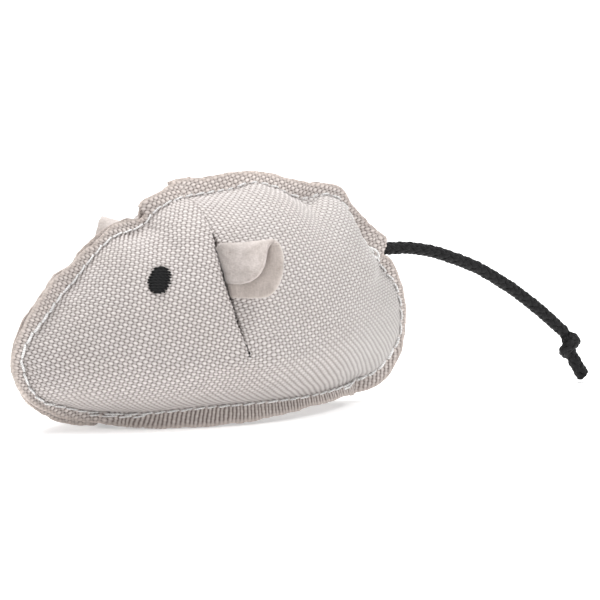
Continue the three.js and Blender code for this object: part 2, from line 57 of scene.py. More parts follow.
# ------------------------------------------------------------------ sizes, as in the part
CLOTH, GAP, SEAT, FULLNESS = 0.8, 0.3, 0.15, 0.55
BELLY_HALF, BELLY_MID, BELLY_REACH, BELLY_LEAN = 13.0, 4.5, 33.0, 0.27
CORD_R, STITCH_IN, FELT = 1.3, 0.5, 1.1
EAR_LENGTH, EAR_BACK, EAR_FRONT = 15.6, 12.4, 9.6
EYE_AT, EYE_W, EYE_H = (-21.7, 33.6), 5.5, 6.4
EAR_TOP, EAR_FOOT = (-7.3, 40.5), (-7.3, 29.5)
PART_AT = (41.2, 33.8)
BACK = [
    (-48.3, 16.2, 2.6), (-47.5, 18.9, 2.65), (-46.2, 20.9, 2.8), (-44.4, 22.8, 3.6), (-41.2, 26.2, 4.1), (-37.8, 30.1, 4.15), (-35.7, 31.8, 3.9),
    (-33.2, 34.4, 3.1), (-31.1, 36.5, 2.85), (-27.9, 39.4, 2.2), (-24.6, 41.5, 2.55), (-19.3, 42.7, 2.9), (-16.3, 44.0, 3.4), (-14.4, 45.9, 3.95), (-12.8, 46.9, 3.4),
    (-11.0, 47.7, 3.2), (-6.3, 48.9, 4.35), (-1.2, 49.3, 3.8), (5.7, 49.8, 4.0), (11.4, 50.8, 2.95), (17.3, 49.4, 3.05), (20.9, 47.6, 3.75),
    (25.0, 46.3, 4.1), (29.9, 46.9, 3.0), (33.3, 46.0, 2.8), (35.4, 43.9, 2.15), (37.2, 40.9, 2.9), (38.8, 37.3, 4.4), (39.9, 35.1, 5.1),
    (41.3, 33.6, 5.35), (42.2, 32.6, 5.5), (42.7, 32.1, 4.9), (43.5, 31.2, 2.6), (44.6, 30.1, 3.2), (45.8, 28.7, 3.3), (47.1, 27.3, 2.8),
    (48.3, 25.9, 2.15), (49.0, 23.9, 2.05), (49.7, 21.5, 1.95), (50.0, 19.5, 1.95),
]
BELOW = [
    (49.9, 17.5, 2.0), (49.6, 14.6, 1.85), (48.7, 12.7, 2.25), (46.8, 10.2, 2.9), (45.2, 8.6, 3.3), (42.7, 7.0, 3.7), (39.6, 6.0, 3.6), (37.9, 5.86, 3.85), (36.3, 5.75, 3.5), (34.4, 5.72, 2.95),
    (31.0, 5.65, 2.72), (25.0, 5.35, 2.8), (18.0, 5.1, 2.88), (12.0, 5.05, 3.45), (5.0, 5.0, 4.1), (-1.0, 4.95, 4.4), (-8.0, 4.8, 4.5),
    (-15.0, 4.35, 4.15), (-22.0, 3.75, 3.6), (-26.0, 3.7, 3.1), (-29.2, 3.9, 2.95), (-32.8, 4.4, 2.85), (-36.0, 5.2, 3.0), (-39.0, 6.0, 2.75),
    (-42.6, 7.1, 2.15), (-44.6, 8.5, 2.35), (-46.3, 10.4, 2.6), (-47.1, 11.9, 2.8), (-47.7, 13.9, 3.0),
]
# how much further (or less far) the far layer of the allowance reaches: x, z, difference
FAR_MORE = [
    (-22.0, 3.5, 0.1), (-29.2, 3.9, 0.7), (-32.8, 4.4, 0.75), (-36.0, 5.2, 0.8), (-39.0, 6.0, 0.75), (-42.6, 7.1, 0.6), (-44.6, 8.5, 0.35),
    (-46.3, 10.4, 0.0), (-47.1, 11.9, -0.15), (-47.7, 13.9, -0.2), (-48.3, 16.2, -0.4), (-47.5, 18.9, -0.4), (-46.2, 20.9, -0.4),
    (-44.4, 22.8, -0.25), (-41.2, 26.2, -0.2), (-37.8, 30.1, -0.15), (-33.2, 34.4, -0.3), (-27.9, 39.4, 0.0), (-24.6, 41.5, -0.45),
    (-19.3, 42.7, -0.3), (-18.0, 43.2, -1.0), (-17.0, 43.6, -1.6), (-16.0, 44.2, -1.7), (-15.0, 45.3, -1.2), (-14.4, 45.9, -0.9), (-6.3, 48.9, -0.4), (5.7, 49.8, -0.45), (17.3, 49.4, -0.1), (25.0, 46.3, -0.2), (33.3, 46.0, -0.3),
    (38.8, 37.3, -0.4), (41.3, 33.6, -1.5), (43.5, 31.2, -0.1), (47.1, 27.3, -0.3), (50.0, 19.5, -0.1), (45.2, 8.6, -0.3), (36.3, 5.15, -0.2),
]
WIDTH = [
    (-48.3, 0), (-47.2, 2.0), (-45, 4.3), (-40, 8.4), (-35, 11.9), (-30, 14.9), (-25, 17.5), (-20, 19.6), (-15, 21.4), (-10, 22.8),
    (-5, 23.7), (0, 24), (5, 23.8), (10, 23.1), (15, 21.9), (20, 20.1), (25, 17.8), (30, 15.0), (35, 11.9), (40, 8.5), (45, 4.9),
    (48, 2.4), (49.2, 1.3), (50, 0),
]
WIDEST = [(-48, 0.45), (-30, 0.34), (-12, 0.27), (10, 0.26), (30, 0.32), (42, 0.42), (51, 0.48)]
DART = [(-6.0, 49.1), (-6.6, 46.2), (-7.2, 40.6), (-7.7, 34.6), (-7.3, 29.6), (-6.6, 24.6), (-5.6, 20.1), (-4.2, 15.5)]
HUB = np.array(DART[-1])
YARN_U, YARN_V = 1.0, 0.667  # half the float period along a row, and the row pitch

# ------------------------------------------------------------------ small helpers


def smoothstep(x, a, b):
    t = np.clip((np.asarray(x, float) - a) / (b - a), 0, 1)
    return t * t * (3 - 2 * t)


def smooth_table(rows):
    """A smooth function through the rows, with no overshoot."""
    t = np.array(rows, float)
    X, Y = t[:, 0], t[:, 1]
    h, d = np.diff(X), np.diff(Y) / np.diff(X)
    m = np.zeros(len(X))
    good = d[:-1] * d[1:] > 0
    w1, w2 = 2 * h[1:] + h[:-1], h[1:] + 2 * h[:-1]
    with np.errstate(divide="ignore", invalid="ignore"):
        m[1:-1] = np.where(good, (w1 + w2) / (w1 / d[:-1] + w2 / d[1:]), 0)
    m[0], m[-1] = d[0], d[-1]

    def f(x):
        x = np.clip(np.asarray(x, float), X[0], X[-1])
        i = np.clip(np.searchsorted(X, x, side="right") - 1, 0, len(h) - 1)
        s = (x - X[i]) / h[i]
        s2, s3 = s * s, s * s * s
        return (2 * s3 - 3 * s2 + 1) * Y[i] + (s3 - 2 * s2 + s) * h[i] * m[i] + (3 * s2 - 2 * s3) * Y[i + 1] + (s3 - s2) * h[i] * m[i + 1]

    return f


def unit(v):
    v = np.asarray(v, float)
    return v / np.maximum(np.linalg.norm(v, axis=-1, keepdims=True), 1e-12)


def finer(P, n, axis=0):
    """An open grid of points with n times as many steps along an axis, on Catmull-Rom curves."""
    P = np.moveaxis(np.asarray(P, float), axis, 0)
    a = np.concatenate([2 * P[:1] - P[1:2], P, 2 * P[-1:] - P[-2:-1]])
    p0, p1, p2, p3 = a[:-3], a[1:-2], a[2:-1], a[3:]
    out = np.zeros((n * (len(P) - 1) + 1,) + P.shape[1:])
    for k in range(n):
        t = k / n
        out[k::n][: len(p1)] = 0.5 * (2 * p1 + (p2 - p0) * t + (2 * p0 - 5 * p1 + 4 * p2 - p3) * t * t + (3 * p1 - p0 - 3 * p2 + p3) * t**3)
    out[-1] = P[-1]
    return np.moveaxis(out, 0, axis)


def along(points, step=None, n=None):
    """Points again at equal distances along their line."""
    p = np.asarray(points, float)
    d = np.concatenate([[0], np.cumsum(np.linalg.norm(np.diff(p, axis=0), axis=1))])
    n = n or max(2, int(round(d[-1] / step)) + 1)
    at = np.linspace(0, d[-1], n)
    return np.stack([np.interp(at, d, p[:, k]) for k in range(p.shape[1])], axis=1)


def value_noise(seed, n=256):
    """A smooth function of one number, about -1 to 1, with features about one unit long."""
    v = np.random.default_rng(seed).uniform(-1, 1, n)

    def f(x):
        x = np.asarray(x, float)
        i = np.floor(x).astype(int)
        t = x - i
        t = t * t * (3 - 2 * t)
        return v[i % n] * (1 - t) + v[(i + 1) % n] * t

    return f


def make_mesh(name, verts, faces, material, smooth=True, uv=None, uv_name="weave"):
    """A mesh object from points in millimetres. uv is one pair per vertex."""
    me = bpy.data.meshes.new(name)
    v = np.asarray(verts, float) * MM
    quads = np.asarray(faces) if isinstance(faces, np.ndarray) else None
    if quads is not None:
        k = quads.shape[1]
        me.vertices.add(len(v))
        me.vertices.foreach_set("co", v.astype(np.float32).ravel())
        me.loops.add(quads.size)
        me.loops.foreach_set("vertex_index", quads.astype(np.int32).ravel())
        me.polygons.add(len(quads))
        me.polygons.foreach_set("loop_start", np.arange(0, quads.size, k, dtype=np.int32))
        me.polygons.foreach_set("loop_total", np.full(len(quads), k, np.int32))
        me.update(calc_edges=True)
    else:
        me.from_pydata([tuple(p) for p in v], [], [tuple(f) for f in faces])
        me.update()
    me.validate()
    if smooth:
        me.polygons.foreach_set("use_smooth", np.ones(len(me.polygons), bool))
    if uv is not None:
        layer = me.uv_layers.new(name=uv_name)
        idx = np.zeros(len(me.loops), np.int32)
        me.loops.foreach_get("vertex_index", idx)
        layer.data.foreach_set("uv", np.asarray(uv, np.float32)[idx].ravel())
    me.materials.append(material)
    ob = bpy.data.objects.new(name, me)
    bpy.context.scene.collection.objects.link(ob)
    return ob


def add_uv(ob, name, uv):
    """A second set of numbers per vertex, for the materials."""
    me = ob.data
    layer = me.uv_layers.new(name=name)
    idx = np.zeros(len(me.loops), np.int32)
    me.loops.foreach_get("vertex_index", idx)
    layer.data.foreach_set("uv", np.asarray(uv, np.float32)[idx].ravel())


class Soup:
    """Collects tubes and quads into one mesh, with a UV per vertex: x round the tube, y along it."""

    def __init__(self):
        self.v, self.f, self.t, self.n = [], [], [], 0

    def grid(self, P, uv, close_u=False, flip=False):
        """P is rows x columns x 3. close_u joins the last column to the first."""
        R, C = P.shape[:2]
        ids = self.n + np.arange(R * C).reshape(R, C)
        if close_u:
            ids = np.concatenate([ids, ids[:, :1]], axis=1)
        q = np.stack([ids[:-1, :-1], ids[:-1, 1:], ids[1:, 1:], ids[1:, :-1]], axis=-1).reshape(-1, 4)
        self.f.append(q[:, ::-1] if flip else q)
        self.v.append(P.reshape(-1, 3))
        self.t.append(np.asarray(uv, float).reshape(-1, 2))
        self.n += R * C
        return ids

    def fan(self, ring_ids, centre, uv=(0, 0), flip=False):
        c = self.n
        self.v.append(np.asarray(centre, float).reshape(1, 3))
        self.t.append(np.asarray(uv, float).reshape(1, 2))
        self.n += 1
        a = np.asarray(ring_ids)
        # quads with a doubled corner would be bad faces, so a fan is kept as triangles
        tri = np.stack([a[:-1], a[1:], np.full(len(a) - 1, c)], axis=1)
        self.f.append(tri[:, ::-1] if flip else tri)

    def tube(self, path, radius, sides=6, wide=None, up=None, cap=True, v0=0.0, flip=False):
        """A tube along path. radius may vary along it; wide is the half width across up."""
        p = np.asarray(path, float)
        n = len(p)
        t = unit(np.gradient(p, axis=0))
        if up is None:
            up0 = np.array([0.0, 0, 1]) if abs(t[0][2]) < 0.9 else np.array([1.0, 0, 0])
            ups = np.zeros_like(p)
            u = up0
            for i in range(n):
                u = u - t[i] * (u @ t[i])
                u = u / np.linalg.norm(u)
                ups[i] = u
        else:
            ups = np.asarray(up, float)
            ups = unit(ups - t * (ups * t).sum(1, keepdims=True))
        side = np.cross(t, ups)
        r = np.broadcast_to(np.asarray(radius, float), (n,))
        w = r if wide is None else np.broadcast_to(np.asarray(wide, float), (n,))
        a = np.arange(sides) / sides * 2 * np.pi
        P = p[:, None] + (np.cos(a)[None, :, None] * side[:, None] * w[:, None, None]) + (np.sin(a)[None, :, None] * ups[:, None] * r[:, None, None])
        d = np.concatenate([[0], np.cumsum(np.linalg.norm(np.diff(p, axis=0), axis=1))]) + v0
        uv = np.stack(np.broadcast_arrays(np.arange(sides)[None, :] / sides, d[:, None]), axis=-1)
        ids = self.grid(P, uv, close_u=True, flip=not flip)
        if cap:
            self.fan(ids[0], p[0] - t[0] * r[0] * 0.35, (0.5, d[0]), flip=flip)
            self.fan(ids[-1], p[-1] + t[-1] * r[-1] * 0.35, (0.5, d[-1]), flip=not flip)
        return d[-1]

    def make(self, name, material, uv_name="lay"):
        v, t = np.concatenate(self.v), np.concatenate(self.t)
        quads = [f for f in self.f if f.shape[1] == 4]
        tris = [f for f in self.f if f.shape[1] == 3]
        faces = [tuple(int(i) for i in r) for f in quads + tris for r in f]
        return make_mesh(name, v, faces, material, uv=t, uv_name=uv_name)


# ------------------------------------------------------------------ materials


def new_material(name, colour, roughness, specular=0.3, sheen=0.0, sheen_rough=0.5):
    m = bpy.data.materials.new(name)
    m.use_nodes = True
    nt = m.node_tree
    b = nt.nodes["Principled BSDF"]
    b.inputs["Base Color"].default_value = (*colour, 1)
    b.inputs["Roughness"].default_value = roughness
    b.inputs["Specular IOR Level"].default_value = specular
    if sheen:
        b.inputs["Sheen Weight"].default_value = sheen
        b.inputs["Sheen Roughness"].default_value = sheen_rough
    return m, nt, b


class Nodes:
    """Short names for building a node tree."""

    def __init__(self, nt):
        self.nt = nt

    def add(self, kind, **props):
        n = self.nt.nodes.new(kind)
        for k, v in props.items():
            setattr(n, k, v)
        return n

    def link(self, a, b):
        self.nt.links.new(a, b)

    def math(self, op, a, b=None, c=None, clamp=False):
        n = self.add("ShaderNodeMath", operation=op, use_clamp=clamp)
        for i, x in enumerate((a, b, c)):
            if x is None:
                continue
            if isinstance(x, (int, float)):
                n.inputs[i].default_value = x
            else:
                self.link(x, n.inputs[i])
        return n.outputs[0]

    def noise(self, vector, scale, detail=2.0, rough=0.5, dims="3D"):
        n = self.add("ShaderNodeTexNoise", noise_dimensions=dims)
        if vector is not None:
            self.link(vector, n.inputs["Vector"])
        n.inputs["Scale"].default_value = scale
        n.inputs["Detail"].default_value = detail
        n.inputs["Roughness"].default_value = rough
        return n.outputs["Fac"]

    def ramp(self, fac, stops):
        n = self.add("ShaderNodeValToRGB")
        self.link(fac, n.inputs[0])
        el = n.color_ramp.elements
        while len(el) < len(stops):
            el.new(0.5)
        for e, (p, c) in zip(el, stops):
            e.position = p
            e.color = (*c, 1)
        return n.outputs[0]

    def mix(self, fac, a, b, mode="MIX"):
        n = self.add("ShaderNodeMix", data_type="RGBA", blend_type=mode)
        for sock, x in ((n.inputs[0], fac), (n.inputs[6], a), (n.inputs[7], b)):
            if isinstance(x, (int, float)):
                sock.default_value = x
            elif isinstance(x, tuple):
                sock.default_value = (*x, 1)
            else:
                self.link(x, sock)
        return n.outputs[2]

    def stretch(self, vector, scale):
        n = self.add("ShaderNodeMapping")
        self.link(vector, n.inputs["Vector"])
        n.inputs["Scale"].default_value = scale
        return n.outputs[0]

    def bump(self, height, strength, distance, into):
        n = self.add("ShaderNodeBump")
        self.link(height, n.inputs["Height"])
        n.inputs["Strength"].default_value = strength
        n.inputs["Distance"].default_value = distance
        self.link(n.outputs[0], into)
        return n


NUB_A, NUB_B, NUB_P = 0.61, 0.59, 2.2  # half length and half height of a float, and its squareness
TUB_A, TUB_B, TUB_H = 0.45, 0.50, 0.66  # the same of the other yarn's float between two of them, and its height


def hashed(a, b):
    """A number from 0 to 1 for each pair of whole numbers."""
    h = np.sin(a * 12.9898 + b * 78.233) * 43758.5453
    return h - np.floor(h)


def noise2(seed, n=128):
    """A smooth function of two numbers, about -1 to 1."""
    g = np.random.default_rng(seed).uniform(-1, 1, (n, n))

    def f(x, y):
        i, j = np.floor(x).astype(int), np.floor(y).astype(int)
        s, t = x - i, y - j
        s, t = s * s * (3 - 2 * s), t * t * (3 - 2 * t)
        a, b, c, d = g[i % n, j % n], g[(i + 1) % n, j % n], g[i % n, (j + 1) % n], g[(i + 1) % n, (j + 1) % n]
        return (a * (1 - s) + b * s) * (1 - t) + (c * (1 - s) + d * s) * t

    return f


def weave_height(u, v):
    """Height of the canvas, 0 in the gaps to about 1 on a float. u in float half-periods, v in rows."""
    j = np.round(v)
    j1 = j + np.where(v >= j, 1, -1)
    dv = np.abs(v - j)
    du = np.abs((u - j + 1) % 2 - 1)
    h0 = 0.86 + 0.28 * hashed(j, np.floor((u - j) / 2 + 0.5))
    h1 = 0.86 + 0.28 * hashed(j1, np.floor((u - j1) / 2 + 0.5))
    e0 = np.maximum(0, 1 - (du / NUB_A) ** NUB_P - (dv / NUB_B) ** NUB_P)
    e1 = np.maximum(0, 1 - ((1 - du) / NUB_A) ** NUB_P - ((1 - dv) / NUB_B) ** NUB_P)
    f0 = np.maximum(0, 1 - ((1 - du) / TUB_A) ** NUB_P - (dv / TUB_B) ** NUB_P)
    f1 = np.maximum(0, 1 - (du / TUB_A) ** NUB_P - ((1 - dv) / TUB_B) ** NUB_P)
    return np.maximum(np.maximum(h0 * np.sqrt(e0), h1 * np.sqrt(e1)), TUB_H * np.sqrt(np.maximum(f0, f1)))


def rib(c):
    """Height of a rib from the cosine of its phase: broad light ribs with narrow gaps."""
    return 0.92 - 0.62 * ((1 - c) / 2) ** 1.3


def canvas_material(name, light, dark, tan, painted_light_by_height):
    """Coarse plain weave: bright floats in staggered rows, darker tan yarn between them, and painted shade in the gaps
    between the floats.
    """
    m, nt, b = new_material(name, light, 0.78, specular=0.22, sheen=0.10)
    k = Nodes(nt)
    uv = k.add("ShaderNodeUVMap", uv_map="weave").outputs[0]
    sep = k.add("ShaderNodeSeparateXYZ")
    k.link(uv, sep.inputs[0])
    u, v = sep.outputs[0], sep.outputs[1]
    j = k.math("ROUND", v)
    dv = k.math("ABSOLUTE", k.math("SUBTRACT", v, j))
    du = k.math("ABSOLUTE", k.math("WRAP", k.math("SUBTRACT", u, j), 1.0, -1.0))

    def nub(a, c, half, high):
        p = k.math("POWER", k.math("DIVIDE", a, half), NUB_P)
        q = k.math("POWER", k.math("DIVIDE", c, high), NUB_P)
        return k.math("ADD", p, q)

    def dome(e):
        return k.math("SQRT", k.math("MAXIMUM", k.math("SUBTRACT", 1.0, e), 0.0))

    du1, dv1 = k.math("SUBTRACT", 1.0, du), k.math("SUBTRACT", 1.0, dv)
    h0 = dome(k.math("MINIMUM", nub(du, dv, NUB_A, NUB_B), nub(du1, dv1, NUB_A, NUB_B)))
    h1 = dome(k.math("MINIMUM", nub(du1, dv, TUB_A, TUB_B), nub(du, dv1, TUB_A, TUB_B)))
    h = k.math("MAXIMUM", h0, k.math("MULTIPLY", h1, TUB_H))
    # where the cloth is pulled, the floats join up into ribs; the upright ribs are painted darker, as painted shade on
    # the allowance underneath and in the gathers below the seam
    pull = k.add("ShaderNodeSeparateXYZ")
    k.link(k.add("ShaderNodeUVMap", uv_map="ribs").outputs[0], pull.inputs[0])
    for way, turn, share, top, deep in ((k.math("ADD", u, v), math.pi, pull.outputs[0], 0.79, 0.54), (u, 2 * math.pi, pull.outputs[1], 0.78, 0.95)):
        c = k.math("COSINE", k.math("MULTIPLY", way, turn))
        gap = k.math("POWER", k.math("MULTIPLY_ADD", c, -0.5, 0.5, clamp=True), 1.3)
        high = k.math("MULTIPLY_ADD", gap, -deep, top)
        h = k.math("MULTIPLY_ADD", share, k.math("SUBTRACT", high, h), h)
    # each float has its own shade
    col = k.math("FLOOR", k.math("MULTIPLY_ADD", k.math("SUBTRACT", u, j), 0.5, 0.5))
    comb = k.add("ShaderNodeCombineXYZ")
    k.link(col, comb.inputs[0])
    k.link(j, comb.inputs[1])
    white = k.add("ShaderNodeTexWhiteNoise", noise_dimensions="2D")
    k.link(comb.outputs[0], white.inputs["Vector"])
    fibre = k.noise(k.stretch(uv, (0.9, 7.0, 1.0)), 2.0, 3.0, 0.6)
    blot = k.noise(uv, 0.06, 2.0)
    yarn = k.ramp(k.math("MULTIPLY_ADD", fibre, 0.45, k.math("MULTIPLY", white.outputs[0], 0.55)), [(0.2, tuple(0.93 * c for c in light)), (0.8, tuple(min(1, 1.06 * c) for c in light))])
    yarn = k.mix(k.math("MULTIPLY", k.math("SUBTRACT", blot, 0.35, clamp=True), 0.5), yarn, tan)
    # painted sheen along the back: the weave there is made lower in contrast and greyer; near the cut the weave is
    # flattened and turns tan where it frays (first number both, second the cut alone)
    soft = k.add("ShaderNodeSeparateXYZ")
    k.link(k.add("ShaderNodeUVMap", uv_map="wear").outputs[0], soft.inputs[0])
    even = k.math("MULTIPLY_ADD", soft.outputs[1], 0.38, 0.62)
    yarn = k.mix(k.math("SUBTRACT", soft.outputs[0], soft.outputs[1], clamp=True), yarn, (0.943 * light[0], light[1], light[2]))
    full = k.math("MULTIPLY_ADD", k.math("SUBTRACT", even, h), k.math("MULTIPLY", soft.outputs[0], 0.62), h)
    yarn = k.mix(k.math("MULTIPLY", soft.outputs[1], 0.55), yarn, tan)
    # low places of the weave take the dark colour: painted shade in the gaps between the floats
    colour = k.mix(full, dark, yarn)
    # painted light and shade: paler towards the top and greyer underneath, as (height in mm, share)
    at = k.add("ShaderNodeSeparateXYZ")
    k.link(k.add("ShaderNodeTexCoord").outputs["Object"], at.inputs[0])
    shade = k.ramp(k.math("MULTIPLY", at.outputs[2], 1000 / 55), [(z / 55, (s, s, s)) for z, s in painted_light_by_height])
    k.link(k.mix(1.0, colour, shade, "MULTIPLY"), b.inputs["Base Color"])
    k.link(k.math("MULTIPLY_ADD", fibre, 0.2, 0.68), b.inputs["Roughness"])
    k.bump(k.math("ADD", k.math("MULTIPLY", fibre, 0.25), h), 0.35, 0.00018, b.inputs["Normal"])
    return m


def thread_material(name, colour, sheen=0.25, turns=1.0, rough=0.55, specular=0.35):
    """Twisted thread: plies run round the tube as they go along it."""
    m, nt, b = new_material(name, colour, rough, specular=specular, sheen=sheen)
    k = Nodes(nt)
    uv = k.add("ShaderNodeUVMap", uv_map="lay").outputs[0]
    sep = k.add("ShaderNodeSeparateXYZ")
    k.link(uv, sep.inputs[0])
    ply = k.math("SINE", k.math("MULTIPLY_ADD", sep.outputs[1], turns * 6.2832, k.math("MULTIPLY", sep.outputs[0], 12.566)))
    fine = k.noise(k.stretch(uv, (14.0, 2.0, 1.0)), 3.0, 3.0, 0.6)
    h = k.math("MULTIPLY_ADD", ply, 0.5, fine)
    k.link(k.ramp(h, [(0.1, tuple(0.72 * c for c in colour)), (0.75, tuple(min(1.0, 1.06 * c) for c in colour))]), b.inputs["Base Color"])
    k.link(k.math("MULTIPLY_ADD", fine, 0.3, rough - 0.15), b.inputs["Roughness"])
    k.bump(h, 0.5, 0.00008, b.inputs["Normal"])
    return m


def felt_material(name, colour, dark):
    """Pressed fibres: short soft streaks in all directions."""
    m, nt, b = new_material(name, colour, 0.95, specular=0.12, sheen=0.35, sheen_rough=0.6)
    k = Nodes(nt)
    co = k.add("ShaderNodeTexCoord").outputs["Object"]
    warp = k.add("ShaderNodeTexNoise")
    k.link(co, warp.inputs["Vector"])
    warp.inputs["Scale"].default_value = 500.0
    shift = k.add("ShaderNodeVectorMath", operation="MULTIPLY_ADD")
    k.link(warp.outputs["Color"], shift.inputs[0])
    shift.inputs[1].default_value = (0.0012, 0.0012, 0.0012)
    k.link(co, shift.inputs[2])
    f1 = k.noise(k.stretch(shift.outputs[0], (1.0, 0.35, 2.4)), 1900.0, 4.0, 0.65)
    f2 = k.noise(k.stretch(shift.outputs[0], (2.2, 1.0, 0.4)), 1750.0, 4.0, 0.65)
    f = k.math("MAXIMUM", f1, f2)
    blot = k.noise(co, 260.0, 3.0)
    h = k.math("MULTIPLY_ADD", blot, 0.5, k.math("MULTIPLY", f, 0.7))
    # painted shade: the felt is made greyer towards the dart, where shade falls on the flap
    painted_dart_shade = k.add("ShaderNodeSeparateXYZ")
    k.link(k.add("ShaderNodeUVMap", uv_map="painted_dart_shade").outputs[0], painted_dart_shade.inputs[0])
    tone = k.ramp(h, [(0.45, dark), (0.78, colour)])
    k.link(k.mix(painted_dart_shade.outputs[0], tone, (0.30, 0.295, 0.295), "MULTIPLY"), b.inputs["Base Color"])
    k.link(k.math("MULTIPLY_ADD", f, 0.2, 0.8), b.inputs["Roughness"])
    k.bump(f, 0.8, 0.00022, b.inputs["Normal"])
    return m


def cord_material(name, colour, light):
    """Black braid yarn: fine filaments along each strand."""
    m, nt, b = new_material(name, colour, 0.62, specular=0.13, sheen=0.04)
    k = Nodes(nt)
    uv = k.add("ShaderNodeUVMap", uv_map="lay").outputs[0]
    fil = k.noise(k.stretch(uv, (22.0, 0.7, 1.0)), 1.6, 4.0, 0.65)
    blot = k.noise(k.stretch(uv, (1.0, 0.6, 1.0)), 0.8, 2.0)
    h = k.math("MULTIPLY_ADD", blot, 0.35, k.math("MULTIPLY", fil, 0.75))
    k.link(k.ramp(h, [(0.35, colour), (0.8, light)]), b.inputs["Base Color"])
    k.link(k.math("MULTIPLY_ADD", fil, 0.35, 0.42), b.inputs["Roughness"])
    k.bump(fil, 0.7, 0.00012, b.inputs["Normal"])
    return m


def speckled_material(name, stops, scale, rough, bump):
    m, nt, b = new_material(name, stops[0][1], rough)
    k = Nodes(nt)
    co = k.add("ShaderNodeTexCoord").outputs["Object"]
    f = k.noise(co, scale, 5.0, 0.7)
    k.link(k.ramp(f, stops), b.inputs["Base Color"])
    k.link(k.math("MULTIPLY_ADD", f, 0.2, rough - 0.1), b.inputs["Roughness"])
    k.bump(f, 0.8, bump, b.inputs["Normal"])
    return m


# the last list in each is painted light and shade by height: greyer low down, paler high up
CANVAS = canvas_material("canvas", (0.665, 0.622, 0.607), (0.17, 0.143, 0.131), (0.605, 0.545, 0.50), [(8, 0.94), (20, 0.97), (30, 1.0), (40, 1.035), (46, 1.07)])
EDGE_M = canvas_material("canvas_edge", (0.685, 0.622, 0.592), (0.168, 0.137, 0.124), (0.52, 0.44, 0.39), [(8, 1.0), (47.6, 1.0), (49.6, 1.18)])
THREAD = thread_material("white_thread", (0.90, 0.89, 0.88), turns=1.1)
FELT_M = felt_material("felt", (0.70, 0.632, 0.60), (0.40, 0.345, 0.315))
# a darker copy of the felt: painted shade for the inside of the ears' fold
FELT_PAINTED_SHADE = felt_material("felt_painted_shade", (0.585, 0.52, 0.482), (0.355, 0.303, 0.273))
EYE_M = thread_material("eye_thread", (0.0065, 0.0065, 0.007), sheen=0.02, turns=0.9, rough=0.5, specular=0.16)
CORD_M = cord_material("cord", (0.0052, 0.0052, 0.0056), (0.020, 0.0196, 0.020))
FIBRE_M = speckled_material("fibre", [(0.3, (0.74, 0.74, 0.72)), (0.7, (0.90, 0.90, 0.88))], 900.0, 0.95, 0.0006)
HERB_M = speckled_material("herb", [(0.3, (0.09, 0.10, 0.035)), (0.5, (0.20, 0.22, 0.09)), (0.72, (0.33, 0.31, 0.15))], 700.0, 0.95, 0.0008)

# ------------------------------------------------------------------ the stuffed surface
f_width, f_widest = smooth_table(WIDTH), smooth_table(WIDEST)
f_upper = smooth_table([(p[0], p[1]) for p in BACK])
f_lower = smooth_table([(BACK[0][0], BACK[0][1])] + [(p[0], p[1]) for p in BELOW[::-1]] + [(BACK[-1][0], BACK[-1][1])])


def f_belly(x):
    return BELLY_HALF * np.maximum(0, 1 - ((x - BELLY_MID) / BELLY_REACH) ** 2) ** 0.75


def half_width(x, z):
    zt, zb, w = f_upper(x), f_lower(x), np.maximum(f_width(x), 0.01)
    q = np.clip((z - zb) / np.maximum(zt - zb, 0.01), 0, 1)
    b, q0 = np.minimum(f_belly(x), 0.9 * w), f_widest(x)
    below = q0 / np.sqrt(1 - (b / w) ** (1 / FULLNESS))
    t = np.where(q >= q0, (q - q0) / (1 - q0), (q0 - q) / below)
    return w * np.maximum(0, 1 - t * t) ** FULLNESS


def closed_spline(points, per=36):
    """A closed centripetal Catmull-Rom curve."""
    P = np.array(points, float)
    n, out = len(P), []
    for i in range(n):
        p0, p1, p2, p3 = P[i - 1], P[i], P[(i + 1) % n], P[(i + 2) % n]
        k = [max(np.linalg.norm((b - a)[:2]), 1e-6) ** 0.5 for a, b in ((p0, p1), (p1, p2), (p2, p3))]
        t0, t1 = 0.0, k[0]
        t2 = t1 + k[1]
        t3 = t2 + k[2]
        for t in np.linspace(t1, t2, per, endpoint=False):
            a1 = (t1 - t) / (t1 - t0) * p0 + (t - t0) / (t1 - t0) * p1
            a2 = (t2 - t) / (t2 - t1) * p1 + (t - t1) / (t2 - t1) * p2
            a3 = (t3 - t) / (t3 - t2) * p2 + (t - t2) / (t3 - t2) * p3
            b1 = (t2 - t) / (t2 - t0) * a1 + (t - t0) / (t2 - t0) * a2
            b2 = (t3 - t) / (t3 - t1) * a2 + (t - t1) / (t3 - t1) * a3
            out.append((t2 - t) / (t2 - t1) * b1 + (t - t1) / (t2 - t1) * b2)
    return np.array(out)


_fine = closed_spline(BACK + BELOW)
_start = int(np.argmin(np.hypot(_fine[:, 0] - DART[0][0], _fine[:, 1] - DART[0][1])))
_fine = np.roll(_fine, -_start, axis=0)
_fine = np.concatenate([_fine, _fine[:1]])
RIM_D = np.concatenate([[0], np.cumsum(np.linalg.norm(np.diff(_fine[:, :2], axis=0), axis=1))])
RIM_L = RIM_D[-1]
_t = unit(np.roll(np.concatenate([_fine[:-1]]), -4, axis=0)[:, :2] - np.roll(_fine[:-1], 4, axis=0)[:, :2])
_out = np.stack([-_t[:, 1], _t[:, 0]], axis=1)
_out = np.concatenate([_out, _out[:1]])


